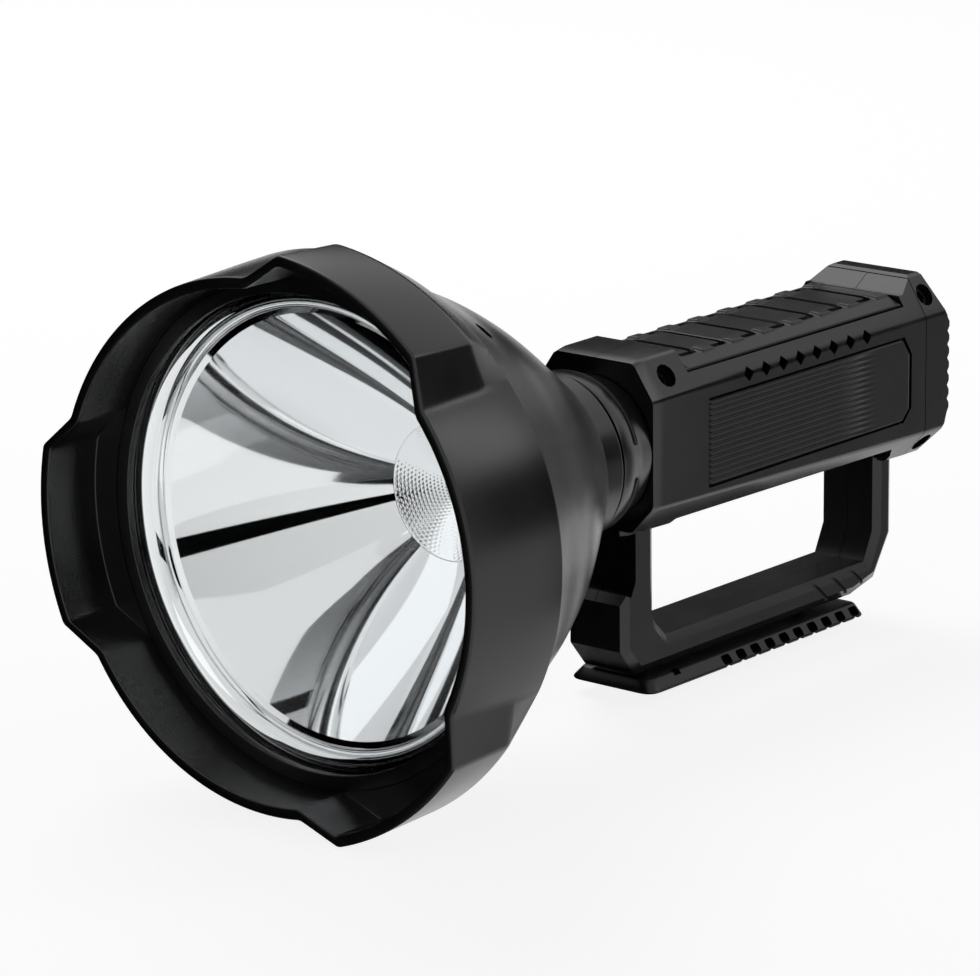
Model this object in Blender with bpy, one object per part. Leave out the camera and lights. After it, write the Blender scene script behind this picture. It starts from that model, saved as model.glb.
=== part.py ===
"""Hand-held LED searchlight with a three-lobed hood and a loop handle.

The light's axis is the Y axis of an empty: the hood's rim lies at y = 0, the light shines towards -Y and
the handle runs towards +Y. All lengths are metres. The model's origin is on the foot's underside,
between its third and fourth tread notch.
"""
import math

import bmesh
import bpy
from mathutils import Vector

# Clearances and shared values
SEAT_GAP = 0.0003
OVERRUN = 0.004
EDGE_BREAK = 0.0006
SHARP_ANGLE = math.radians(32)
ROUND_SIDES = 48
SMALL_SIDES = 12

# Hood, lens and bezel
LENS_OPENING_RADIUS = 0.0600
LENS_LIP = 0.0018
LENS_THICKNESS = 0.0022
LENS_SIDES = 44
SEAL_WALL = 0.0015
BEZEL_THICKNESS = 0.0020
RIM_LEDGE = 0.0002
RIM_WALL = 0.0028
HOOD_DEPTH = 0.0169
LOBE_RISE = 0.0072
LOBE_TAPER = 0.0007
ARC_FLARE = 0.0013
LOBE_LENGTH = 0.0212
CREASE_RISE = 0.0018
SHOULDER_WIDTH = 0.0027
SHOULDER_WALL = 0.0073
SPIGOT_LENGTH = 0.0190
SPIGOT_WALL = 0.0025
LOBE_COUNT = 3
LOBE_TURN = math.radians(66.15)
LOBE_OUTER_HALF_ANGLE = math.radians(18.0)
LOBE_INNER_HALF_ANGLE = math.radians(26.8)
LOBE_STEPS = 5
ARC_STEPS = 10

# Reflector and light source
FLANGE_THICKNESS = 0.0014
REFLECTOR_WALL = 0.0012
REFLECTOR_INSET = 0.0064
FLARE_DEPTH = 0.0052
FLARE_RING = 0.0015
REFLECTOR_DEPTH_SHARE = 0.6377
REFLECTOR_STEPS = 6
REFLECTOR_SIDES = 40
FLARE_STEPS = 4
CUP_RADIUS = 0.0180
CUP_DEPTH_SHARE = 0.1594
CUP_EXIT_RADIUS = 0.0080
CUP_SIDES = 30
EMITTER_RADIUS = 0.0036
EMITTER_DOME_STEPS = 3
EMITTER_RISE = 0.0022
LED_BOARD_RADIUS = 0.0140
LED_BOARD_THICKNESS = 0.0015

# Bell, its boss and its screws
BELL_STEP = 0.0013
BELL_LENGTH = 0.0690
BELL_TAIL_RADIUS = 0.0277
BELL_WALL = 0.0027
BELL_PROFILE_SHARES = ((0.0, 1.0), (0.13, 0.889), (0.275, 0.763), (0.42, 0.65), (0.565, 0.511),
                       (0.71, 0.348), (0.855, 0.174), (1.0, 0.0))
BELL_FRONT_BREAK = 0.0012
BOSS_RADIUS = 0.0235
BOSS_TAPER = 0.0030
BOSS_LENGTH = 0.0120
BELL_SCREW_SETBACK = 0.0150
BELL_SCREW_TURN = math.radians(57.5)
BELL_SCREW_COUNT = 3
BELL_SCREW_HEAD_RADIUS = 0.0020
BELL_SCREW_HEAD_HEIGHT = 0.0016
BELL_SCREW_SHANK_RADIUS = 0.0012
BELL_SCREW_LENGTH = 0.0050

# Heat sink
SINK_PLATE = 0.0036
SINK_BACK_GAP = 0.0012
SINK_CORE_RADIUS = 0.0085
SINK_FIN_COUNT = 12
SINK_FIN_RADIUS = 0.0215
SINK_FIN_SHARE = 0.36

# Neck
NECK_TUBE_RADIUS = 0.0150
NECK_TUBE_WALL = 0.0030
NECK_TUBE_LENGTH = 0.0370
NECK_SIDES = 32
NECK_GROOVE_LENGTH = 0.0016
NECK_SEAL_RADIUS = 0.0190
COLLAR_LENGTH = 0.0151
COLLAR_FRONT_RADIUS = 0.0227
COLLAR_BACK_RADIUS = 0.0193
COLLAR_RIB_RADIUS = 0.0220
COLLAR_RIB_WIDTH = 0.0010
COLLAR_RIB_SETBACK = 0.0060
COLLAR_RIB_COUNT = 3
COLLAR_RIB_ANGLE = math.radians(97)
COLLAR_RIB_TURN = math.radians(14)
COLLAR_RIB_STEPS = 7

# Grip, the octagonal housing along the top of the handle
GRIP_LENGTH = 0.1214
GRIP_HALF_WIDTH = 0.0200
GRIP_TOP_HALF_WIDTH = 0.0132
GRIP_TOP = 0.0243
GRIP_REAR_RISE = 0.0013
GRIP_CHAMFER_DROP = 0.0098
GRIP_SIDE_BOTTOM = -0.0142
GRIP_REAR_DROP = 0.0036
GRIP_LOWER_DROP = 0.0080
GRIP_LOWER_HALF_WIDTH = 0.0124
GRIP_FRONT_BEVEL = 0.0038
GRIP_FRONT_INSET = 0.0006
GRIP_CORNER_BREAK = 0.0008
PARTING_GAP = 0.0002
FRONT_BLOCK = 0.0140
CAVITY_REAR_WALL = 0.0034
CAVITY_CORNER = 0.0045

# Battery cells and driver board inside the grip
CELL_RADIUS = 0.0092
CELL_LENGTH = 0.0650
CELL_TERMINAL_RADIUS = 0.0028
CELL_TERMINAL_HEIGHT = 0.0011
CELL_SIDES = 16
CELL_LEAN = math.radians(42)
CELL_SETBACK = 0.0020
CELL_REAR_ROOM = 0.0090
BOARD_THICKNESS = 0.0016
BOARD_SETBACK = 0.0020

# Loop of the handle: two legs and the lower bar
FRONT_LEG = 0.0136
OPENING_LENGTH = 0.0996
REAR_LEG = 0.0082
OPENING_TOP = -0.0208
BAR_THICKNESS = 0.0080
BAR_FOOT_RISE = 0.0050
OPENING_FRONT_CORNER = 0.0058
OPENING_REAR_CORNER = 0.0040
OPENING_UPPER_CORNER = 0.0030
LOOP_REAR_CHAMFER = 0.0075
LOOP_REAR_SLOPE = 0.0110
LOOP_FRONT_CHAMFER = 0.0062
LOOP_CHAMFER_RISE = 0.0074
LOOP_REAR_RISE = 0.0026
LOOP_REAR_HEIGHT = 0.0140
LOOP_HALF_WIDTH = 0.0097
LOOP_EDGE_BREAK = 0.0014
LOOP_EDGE_LENGTH = 0.0024
LEG_RECESS_TOP = -0.0230
LEG_RECESS_DEPTH = 0.0050
LEG_RECESS_HEIGHT = 0.0133
LEG_RECESS_STEPS = ((0.0030, 0.0039), (0.0016, 0.0031), (0.0, 0.0057))
BAR_GROOVE_COUNT = 3
BAR_GROOVE_FIRST = 0.0812
BAR_GROOVE_PITCH = 0.0088
BAR_GROOVE_WIDTH = 0.0016
BAR_GROOVE_DEPTH = 0.0008
BAR_GROOVE_SLANT = 0.0147

# Pad on top of the grip
PAD_SETBACK = 0.0180
PAD_LENGTH = 0.0960
PAD_FLOOR_DROP = 0.0056
PAD_THICKNESS = 0.0028
PAD_TOP_HALF_WIDTH = 0.0134
PAD_RAMP_LENGTH = 0.0080
PAD_RAMP_RISE = 0.0050
PAD_RAMP_SETBACK = 0.0022
PAD_GROOVE_COUNT = 7
PAD_GROOVE_FIRST = 0.0105
PAD_GROOVE_PITCH = 0.0131
PAD_GROOVE_WIDTH = 0.0016
PAD_GROOVE_DEPTH = 0.0008
PAD_GROOVE_HALF_LENGTH = 0.0105

# Notches along the grip's upper edge
NOTCH_COUNT = 8
NOTCH_FIRST = 0.0405
NOTCH_PITCH = 0.0076
NOTCH_RADIUS = 0.0021
NOTCH_DEPTH = 0.0024
NOTCH_TAPER = 0.75

# Ribbed side panels
PANEL_SETBACK = 0.0230
PANEL_LENGTH = 0.0918
PANEL_TOP = 0.0112
PANEL_BOTTOM = -0.0130
PANEL_CORNER = 0.0036
PANEL_RECESS = 0.0012
PANEL_CLEARANCE = 0.0003
PANEL_RIB_COUNT = 12
PANEL_RIB_HEIGHT = 0.0006

# Corner screws of the grip and of the rear cap
CORNER_SCREW_RADIUS = 0.0030
CORNER_SCREW_HEIGHT = 0.0013
CORNER_SCREW_SHANK = 0.0012
CORNER_SCREW_GRIP = 0.0050
FRONT_SCREW_SETBACK = 0.0091
FRONT_SCREW_SINK = 0.0030
CAP_SCREW_SETBACK = 0.0035
CAP_SCREW_SINK = 0.0020
SOCKET_SHARE = 0.55
SOCKET_DEPTH = 0.0012

# Rear cap
CAP_WALL = 0.0046
CAP_LENGTH = 0.0112
CAP_SHOULDER = 0.0059
CAP_FACE_TOP = 0.0130
CAP_FACE_BOTTOM = -0.0140
CAP_WAVE_COUNT = 7
CAP_WAVE_HEIGHT = 0.0010
CAP_WAVE_STEPS = 3
CAP_CAVITY_DEPTH = 0.0057
CAP_SPIGOT_LENGTH = 0.0054
CAP_POCKET_DEPTH = 0.0040
CAP_POCKET_HALF_WIDTH = 0.0096
CAP_POCKET_TOP = 0.0160
CAP_POCKET_BOTTOM = -0.0150
PASSAGE_HALF_WIDTH = 0.0120
PASSAGE_TOP = 0.0165
PASSAGE_BOTTOM = -0.0135

# Power button and switch
BUTTON_HEIGHT = 0.0085
BUTTON_RADIUS = 0.0055
BUTTON_RISE = 0.0022
BUTTON_FLANGE = 0.0011
BUTTON_FLANGE_THICKNESS = 0.0015
BUTTON_TRAVEL = 0.0012
BUTTON_SIDES = 20
SWITCH_LENGTH = 0.0060
SWITCH_HALF_HEIGHT = 0.0055

# Charging port, its flap and the flap's pin
PORT_HEIGHT = -0.0085
PORT_HALF_WIDTH = 0.0044
PORT_HALF_HEIGHT = 0.0017
PORT_LENGTH = 0.0075
PORT_WALL = 0.0006
PORT_MOUTH_DEPTH = 0.0050
PORT_SETBACK = 0.0003
FLAP_HALF_WIDTH = 0.0072
FLAP_TOP = -0.0032
FLAP_THICKNESS = 0.0016
FLAP_BARREL_RADIUS = 0.0013
FLAP_AXIS_HEIGHT = -0.0125
PIN_RADIUS = 0.0006
PIN_SEAT_DEPTH = 0.0012

# Foot rail under the lower bar
FOOT_HALF_WIDTH = 0.0142
FOOT_TOP_HALF_WIDTH = 0.0115
FOOT_LOBE_RISE = 0.0034
FOOT_OVERHANG = 0.0060
FOOT_LENGTH = 0.0960
FOOT_TOP_GAP = 0.0010
FOOT_FRONT_CHAMFER = 0.0016
FOOT_CORNER = 0.0020
FOOT_NOTCH_COUNT = 10
FOOT_NOTCH_FIRST = 0.0342
FOOT_NOTCH_MARGIN = 0.0037
FOOT_NOTCH_RADIUS = 0.0016
FOOT_NOTCH_STEPS = 4
FOOT_REST_LAND = 3
FOOT_BOSS_RADIUS = 0.0050
FOOT_BOSS_SETBACK = 0.0120
FOOT_SCREW_HEAD_RADIUS = 0.0032
FOOT_SCREW_HEAD_HEIGHT = 0.0020
FOOT_SCREW_SINK = 0.0010
FOOT_SCREW_SHANK = 0.0016
FOOT_SCREW_LENGTH = 0.0095

# Radii and places that follow from the driving dimensions
lens_radius = LENS_OPENING_RADIUS + LENS_LIP
seal_inner = lens_radius + SEAT_GAP
seal_outer = seal_inner + SEAL_WALL
bore_radius = seal_outer + SEAT_GAP
arc_radius = bore_radius + RIM_LEDGE + RIM_WALL
lobe_radius = arc_radius + LOBE_RISE
crease_radius = arc_radius + CREASE_RISE
shoulder_radius = bore_radius - SHOULDER_WIDTH
bell_front_radius = crease_radius - BELL_STEP
reflector_radius = LENS_OPENING_RADIUS - REFLECTOR_INSET

bezel_back = HOOD_DEPTH + BEZEL_THICKNESS
lens_front = bezel_back + SEAT_GAP
lens_back = lens_front + LENS_THICKNESS
flange_front = lens_back + SEAT_GAP
flange_back = flange_front + FLANGE_THICKNESS
shoulder_y = flange_back + SEAT_GAP
hood_back = shoulder_y + SHOULDER_WALL
spigot_back = hood_back + SPIGOT_LENGTH
bell_front = hood_back + SEAT_GAP
bell_back = bell_front + BELL_LENGTH
boss_back = bell_back + BOSS_LENGTH
collar_front = boss_back + NECK_GROOVE_LENGTH
collar_back = collar_front + COLLAR_LENGTH
grip_front = collar_back + SEAT_GAP
grip_back = grip_front + GRIP_LENGTH
reflector_depth = BELL_LENGTH * REFLECTOR_DEPTH_SHARE
reflector_front = flange_front + FLARE_DEPTH
reflector_back = reflector_front + reflector_depth
cup_front = reflector_back + SEAT_GAP
cup_back = cup_front + BELL_LENGTH * CUP_DEPTH_SHARE
led_board_front = cup_back + SEAT_GAP
led_board_back = led_board_front + LED_BOARD_THICKNESS
sink_front = led_board_back + SEAT_GAP
sink_plate_back = sink_front + SINK_PLATE
sink_back = bell_back - SINK_BACK_GAP
neck_bore = NECK_TUBE_RADIUS + SEAT_GAP
tube_front = bell_back + SEAT_GAP + NECK_TUBE_WALL / 2

cavity_front = grip_front + FRONT_BLOCK
cavity_back = grip_back - CAVITY_REAR_WALL
cell_front = cavity_back - CELL_REAR_ROOM - CELL_LENGTH
board_front = cavity_front + BOARD_SETBACK
board_length = cell_front - CELL_SETBACK - board_front
cell_shift_x = (CELL_RADIUS + SEAT_GAP / 2) * math.cos(CELL_LEAN)
cell_shift_z = (CELL_RADIUS + SEAT_GAP / 2) * math.sin(CELL_LEAN)
cavity_half_width = cell_shift_x + CELL_RADIUS + SEAT_GAP
cavity_half_height = cell_shift_z + CELL_RADIUS + SEAT_GAP
pad_front = grip_front + PAD_SETBACK
pad_back = pad_front + PAD_LENGTH
pad_floor = GRIP_TOP - PAD_FLOOR_DROP
pad_top = pad_floor + SEAT_GAP + PAD_THICKNESS
chamfer_slope = (GRIP_HALF_WIDTH - GRIP_TOP_HALF_WIDTH) / GRIP_CHAMFER_DROP
pad_half_width = GRIP_TOP_HALF_WIDTH + PAD_FLOOR_DROP * chamfer_slope - SEAT_GAP
grip_shoulder = GRIP_TOP - GRIP_CHAMFER_DROP
rear_top = GRIP_TOP + GRIP_REAR_RISE
rear_base = GRIP_SIDE_BOTTOM - GRIP_REAR_DROP - GRIP_LOWER_DROP
opening_front = grip_front + FRONT_LEG
opening_back = opening_front + OPENING_LENGTH
loop_back = opening_back + REAR_LEG
cap_front = grip_back + SEAT_GAP
cap_back = cap_front + CAP_LENGTH
cap_shoulder = cap_front + CAP_SHOULDER
cap_cavity_back = cap_front + CAP_CAVITY_DEPTH
pocket_floor = cap_back - CAP_POCKET_DEPTH
flap_axis_y = pocket_floor + SEAT_GAP + FLAP_BARREL_RADIUS
foot_front = grip_front + FOOT_OVERHANG
lowest_lobe_angle = LOBE_TURN - math.tau / LOBE_COUNT - LOBE_OUTER_HALF_ANGLE
foot_bottom = lobe_radius * math.sin(lowest_lobe_angle) + FOOT_LOBE_RISE
axis_height = -foot_bottom
foot_notch_room = FOOT_LENGTH - FOOT_NOTCH_FIRST - FOOT_NOTCH_MARGIN
foot_notch_pitch = foot_notch_room / (FOOT_NOTCH_COUNT - 1)
rest_y = foot_front + FOOT_NOTCH_FIRST + (FOOT_REST_LAND - 0.5) * foot_notch_pitch
bar_bottom = foot_bottom + BAR_FOOT_RISE
bar_top = bar_bottom + BAR_THICKNESS
recess_bottom = LEG_RECESS_TOP - LEG_RECESS_HEIGHT
recess_back = grip_front + LEG_RECESS_DEPTH
foot_top = bar_bottom - FOOT_TOP_GAP


def clear_scene():
    """Remove every object of the scene."""
    for thing in list(bpy.data.objects):
        bpy.data.objects.remove(thing, do_unlink=True)


def finish_material(name, colour, roughness, metallic=0.0, alpha=1.0):
    """Return a Principled material."""
    material = bpy.data.materials.new(name)
    material.use_nodes = True
    shader = material.node_tree.nodes["Principled BSDF"]
    shader.inputs["Base Color"].default_value = (*colour, 1.0)
    shader.inputs["Roughness"].default_value = roughness
    shader.inputs["Metallic"].default_value = metallic
    shader.inputs["Alpha"].default_value = alpha
    return material


def light_axis():
    """Place the empty that carries every piece on the light's axis."""
    axis = bpy.data.objects.new("light_axis", None)
    axis.location = (0, -rest_y, axis_height)
    bpy.context.collection.objects.link(axis)
    return axis


def lofted_mesh(name, loops, ring=False):
    """Skin loops of equal length, capped at both ends, or closed on itself as a ring."""
    mesh = bpy.data.meshes.new(name)
    shape = bmesh.new()
    rows = [[shape.verts.new(point) for point in loop] for loop in loops]
    count = len(rows[0])
    pairs = list(zip(rows, rows[1:]))
    if ring:
        pairs.append((rows[-1], rows[0]))
    for low, high in pairs:
        for index in range(count):
            after = (index + 1) % count
            shape.faces.new((low[index], low[after], high[after], high[index]))
    if not ring:
        shape.faces.new(rows[0][::-1])
        shape.faces.new(rows[-1])
    bmesh.ops.recalc_face_normals(shape, faces=shape.faces)
    shape.to_mesh(mesh)
    shape.free()
    return mesh


def place(mesh, parent, material=None, name=None):
    """Put a mesh in the scene as a piece, or as a cutter when it has no material."""
    thing = bpy.data.objects.new(name or mesh.name, mesh)
    thing.parent = parent
    bpy.context.collection.objects.link(thing)
    if material is None:
        thing.hide_render = True
        thing.display_type = "WIRE"
        return thing
    if not mesh.materials:
        mesh.materials.append(material)
    mesh.shade_smooth()
    mesh.set_sharp_from_angle(angle=SHARP_ANGLE)
    return thing


def combine(target, other, operation):
    """Add a Boolean modifier that joins, cuts or trims the target by another object."""
    step = target.modifiers.new(f"{operation.lower()}_{other.name}", "BOOLEAN")
    step.operation = operation
    step.object = other


def round_loop(radius, y, sides, phase=0.0):
    """Return a circle about the light's axis."""
    turns = [phase + math.tau * index / sides for index in range(sides)]
    return [Vector((radius * math.cos(turn), y, radius * math.sin(turn))) for turn in turns]


def turned_mesh(name, profile, sides, ring=True):
    """Turn a profile of (radius, y) pairs about the light's axis."""
    return lofted_mesh(name, [round_loop(radius, y, sides) for radius, y in profile], ring)


def flat_point(across, up, axis, along):
    """Place a point of an outline drawn square to X, Y or Z."""
    if axis == "X":
        return Vector((along, across, up))
    if axis == "Y":
        return Vector((across, along, up))
    return Vector((across, up, along))


def prism_mesh(name, outline, axis, low, high):
    """Extrude an outline along X, Y or Z."""
    return lofted_mesh(name, [[flat_point(a, b, axis, along) for a, b in outline] for along in (low, high)])


def box_outline(left, right, bottom, top):
    """Return a rectangle's four corners."""
    return [(left, bottom), (right, bottom), (right, top), (left, top)]


def cut_corners(outline, size):
    """Replace each corner of an outline by two points that lie a given way along its edges."""
    result = []
    for index, corner in enumerate(outline):
        here = Vector(corner)
        for other in (Vector(outline[index - 1]), Vector(outline[(index + 1) % len(outline)])):
            way = other - here
            result.append(tuple(here + way.normalized() * min(size, way.length * 0.45)))
    return result


def inset_outline(outline, distance):
    """Move every edge of a convex outline inwards."""
    middle = sum((Vector(point) for point in outline), Vector((0, 0))) / len(outline)
    lines = []
    for index, point in enumerate(outline):
        start = Vector(point)
        way = (Vector(outline[(index + 1) % len(outline)]) - start).normalized()
        inward = Vector((-way.y, way.x))
        if inward.dot(middle - start) < 0:
            inward = -inward
        lines.append((start + inward * distance, way))
    result = []
    for index, (start, way) in enumerate(lines):
        before, along = lines[index - 1]
        share = (before - start).cross(along) / way.cross(along)
        result.append(tuple(start + way * share))
    return result


def rod_mesh(name, start, direction, steps, sides, socket=False):
    """Loft circles of (distance, radius) along a direction; a socket ends the rod in a hexagon hole."""
    aim = Vector(direction).to_track_quat("Z", "Y")
    loops = []
    for distance, radius in steps:
        turns = [math.tau * index / sides for index in range(sides)]
        ring = [Vector((radius * math.cos(turn), radius * math.sin(turn), distance)) for turn in turns]
        loops.append([Vector(start) + aim @ point for point in ring])
    if socket:
        distance, radius = steps[-1]
        for sink in (0, SOCKET_DEPTH):
            ring = hexagon_ring(radius * SOCKET_SHARE, distance - sink, sides)
            loops.append([Vector(start) + aim @ point for point in ring])
    return lofted_mesh(name, loops)


def hexagon_ring(flat_radius, height, sides):
    """Return a hexagon drawn with the same number of points as the circle around it."""
    sixth = math.tau / 6
    points = []
    for index in range(sides):
        turn = math.tau * index / sides
        radius = flat_radius / math.cos((turn % sixth) - sixth / 2)
        points.append(Vector((radius * math.cos(turn), radius * math.sin(turn), height)))
    return points


def lobed_loop(arc, lobe, y):
    """Return the hood's outline: three raised lobes with arcs between them."""
    points = []
    step = math.tau / LOBE_COUNT
    for index in range(LOBE_COUNT):
        middle = LOBE_TURN + step * index
        turns = [(middle - LOBE_INNER_HALF_ANGLE, arc)]
        for part in range(LOBE_STEPS + 1):
            turn = middle + LOBE_OUTER_HALF_ANGLE * (2 * part / LOBE_STEPS - 1)
            turns.append((turn, lobe))
        start = middle + LOBE_INNER_HALF_ANGLE
        sweep = step - 2 * LOBE_INNER_HALF_ANGLE
        turns += [(start + sweep * part / ARC_STEPS, arc) for part in range(ARC_STEPS)]
        points += [Vector((radius * math.cos(turn), y, radius * math.sin(turn))) for turn, radius in turns]
    return points


def bell_radius(y):
    """Return the bell's outer radius at a station along the axis."""
    share = (y - bell_front) / BELL_LENGTH
    spread = bell_front_radius - BELL_TAIL_RADIUS
    for (start, high), (end, low) in zip(BELL_PROFILE_SHARES, BELL_PROFILE_SHARES[1:]):
        if share <= end or end == 1.0:
            part = (share - start) / (end - start)
            return BELL_TAIL_RADIUS + spread * (high + (low - high) * part)
    return BELL_TAIL_RADIUS


def bell_inside(y):
    """Return the bell's inner radius at a station along the axis."""
    return bell_radius(y) - BELL_WALL


def hood(parent, material):
    """Loft the lobed hood with its bore, shoulder and the spigot that enters the bell."""
    spigot_front_radius = bell_inside(bell_front) - SEAT_GAP
    spigot_back_radius = bell_inside(spigot_back) - SEAT_GAP
    inner_arc = arc_radius - RIM_WALL
    inner_lobe = lobe_radius - RIM_WALL
    sizes = [(arc_radius - EDGE_BREAK, lobe_radius - EDGE_BREAK, 0),
             (arc_radius, lobe_radius, EDGE_BREAK),
             (arc_radius + ARC_FLARE, lobe_radius - LOBE_TAPER, LOBE_LENGTH),
             (crease_radius, crease_radius, hood_back),
             (spigot_front_radius, spigot_front_radius, hood_back),
             (spigot_back_radius, spigot_back_radius, spigot_back),
             (spigot_back_radius - SPIGOT_WALL, spigot_back_radius - SPIGOT_WALL, spigot_back),
             (shoulder_radius, shoulder_radius, hood_back),
             (shoulder_radius, shoulder_radius, shoulder_y),
             (bore_radius, bore_radius, shoulder_y),
             (bore_radius, bore_radius, HOOD_DEPTH),
             (inner_arc, inner_lobe, HOOD_DEPTH),
             (inner_arc, inner_lobe, 0)]
    piece = place(lofted_mesh("hood", [lobed_loop(*size) for size in sizes], ring=True), parent, material)
    for index in range(BELL_SCREW_COUNT):
        combine(piece, bell_screw_hole(parent, index, "pilot", BELL_SCREW_SHANK_RADIUS + SEAT_GAP), "DIFFERENCE")
    return piece


def square_ring(name, inner, outer, front, back, sides, parent, material):
    """Turn a ring of rectangular section with its front outer edge broken."""
    profile = [(inner, front), (outer - EDGE_BREAK / 2, front), (outer, front + EDGE_BREAK / 2),
               (outer, back), (inner, back)]
    return place(turned_mesh(name, profile, sides), parent, material)


def lens(parent, material):
    """Make the flat front lens."""
    profile = [(lens_radius - EDGE_BREAK / 2, lens_front), (lens_radius, lens_front + EDGE_BREAK / 2),
               (lens_radius, lens_back - EDGE_BREAK / 2), (lens_radius - EDGE_BREAK / 2, lens_back)]
    return place(turned_mesh("lens", profile, LENS_SIDES, ring=False), parent, material)


def parabola_points(offset):
    """Return the reflector's curve from its front ring to its back edge, moved out by its wall."""
    four_focal = (reflector_radius ** 2 - CUP_RADIUS ** 2) / reflector_depth
    points = []
    for index in range(REFLECTOR_STEPS + 1):
        radius = reflector_radius + (CUP_RADIUS - reflector_radius) * index / REFLECTOR_STEPS
        y = reflector_back - (radius ** 2 - CUP_RADIUS ** 2) / four_focal
        points.append((radius + offset, y))
    return points


def flare_points(offset):
    """Return the flared collar between the lens and the reflector's front ring."""
    outer = LENS_OPENING_RADIUS
    inner = reflector_radius + FLARE_RING
    points = []
    for index in range(FLARE_STEPS + 1):
        turn = math.pi / 2 * index / FLARE_STEPS
        radius = inner + (outer - inner) * (1 - math.sin(turn))
        y = flange_front + (FLARE_DEPTH - REFLECTOR_WALL / 2) * (1 - math.cos(turn))
        points.append((radius + offset, y))
    return points


def reflector(parent, material):
    """Turn the reflector: flange, flared collar, bright ring and parabolic bowl."""
    front_side = [(seal_outer, flange_front)] + flare_points(0) + parabola_points(0)
    back_side = parabola_points(REFLECTOR_WALL)[::-2]
    back_side += [(reflector_radius + FLARE_RING + REFLECTOR_WALL, flange_back + REFLECTOR_WALL)]
    back_side += [(LENS_OPENING_RADIUS, flange_back), (seal_outer, flange_back)]
    return place(turned_mesh("reflector", front_side + back_side, REFLECTOR_SIDES), parent, material)


def led_cup(parent, material):
    """Turn the textured cup between the reflector's back edge and the light source."""
    profile = [(CUP_RADIUS, cup_front), (CUP_EXIT_RADIUS, cup_back),
               (CUP_EXIT_RADIUS + REFLECTOR_WALL, cup_back), (CUP_RADIUS + REFLECTOR_WALL, cup_front)]
    return place(turned_mesh("led_cup", profile, CUP_SIDES), parent, material)


def led_board(parent, material):
    """Make the disc that carries the light source."""
    profile = [(LED_BOARD_RADIUS, led_board_front), (LED_BOARD_RADIUS, led_board_back)]
    return place(turned_mesh("led_board", profile, CUP_SIDES, ring=False), parent, material)


def led_emitter(parent, material):
    """Make the light source: a round base with a low dome."""
    back = led_board_front - SEAT_GAP
    profile = [(EMITTER_RADIUS, back), (EMITTER_RADIUS, back - EMITTER_RISE / 3)]
    for index in range(EMITTER_DOME_STEPS):
        turn = math.pi / 2 * (index + 0.5) / EMITTER_DOME_STEPS
        profile.append((EMITTER_RADIUS * 0.9 * math.cos(turn), back - EMITTER_RISE * (1 + 2 * math.sin(turn)) / 3))
    return place(turned_mesh("led_emitter", profile, SMALL_SIDES, ring=False), parent, material)


def heat_sink(parent, material):
    """Loft the heat sink: a cone plate that seats in the bell and a core with radial fins."""
    sides = SINK_FIN_COUNT * 4
    rim_front = bell_inside(sink_front) - SEAT_GAP
    rim_back = bell_inside(sink_plate_back) - SEAT_GAP
    loops = [round_loop(rim_front, sink_front, sides), round_loop(rim_back, sink_plate_back, sides)]
    for y in (sink_plate_back, sink_back):
        star = []
        for index in range(SINK_FIN_COUNT):
            middle = math.tau * index / SINK_FIN_COUNT
            for share, radius in ((-0.5, SINK_CORE_RADIUS), (-SINK_FIN_SHARE / 2, SINK_FIN_RADIUS),
                                  (SINK_FIN_SHARE / 2, SINK_FIN_RADIUS), (0.5, SINK_CORE_RADIUS)):
                reach = share if radius == SINK_FIN_RADIUS else share * (1 - SINK_FIN_SHARE)
                turn = middle + math.tau * reach / SINK_FIN_COUNT
                star.append(Vector((radius * math.cos(turn), y, radius * math.sin(turn))))
        loops.append(star)
    return place(lofted_mesh("heat_sink", loops), parent, material)


def bell_screw_place(index):
    """Return the seat and the outward direction of one of the bell's radial screws."""
    turn = BELL_SCREW_TURN + math.tau * index / BELL_SCREW_COUNT
    y = bell_front + BELL_SCREW_SETBACK
    run = BELL_WALL
    slope = (bell_radius(y + run) - bell_radius(y - run)) / (2 * run)
    outward = Vector((math.cos(turn), -slope, math.sin(turn))).normalized()
    seat = Vector((bell_radius(y) * math.cos(turn), y, bell_radius(y) * math.sin(turn)))
    return seat, outward


def bell_screw_hole(parent, index, use, radius):
    """Make the cutter of a radial screw hole."""
    seat, outward = bell_screw_place(index)
    reach = BELL_SCREW_LENGTH + OVERRUN
    steps = [(-reach, radius), (OVERRUN, radius)]
    return place(rod_mesh(f"{use}_cut_{index + 1}", seat, outward, steps, SMALL_SIDES), parent)


def bell_screw(parent, material, index):
    """Make one radial screw that holds the bell on the hood's spigot."""
    seat, outward = bell_screw_place(index)
    top = -EDGE_BREAK
    neck = top - BELL_SCREW_HEAD_HEIGHT
    steps = [(-BELL_SCREW_LENGTH, BELL_SCREW_SHANK_RADIUS), (neck, BELL_SCREW_SHANK_RADIUS),
             (neck, BELL_SCREW_HEAD_RADIUS), (top, BELL_SCREW_HEAD_RADIUS)]
    mesh = rod_mesh(f"bell_screw_{index + 1}", seat, outward, steps, SMALL_SIDES, socket=True)
    return place(mesh, parent, material)


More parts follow.
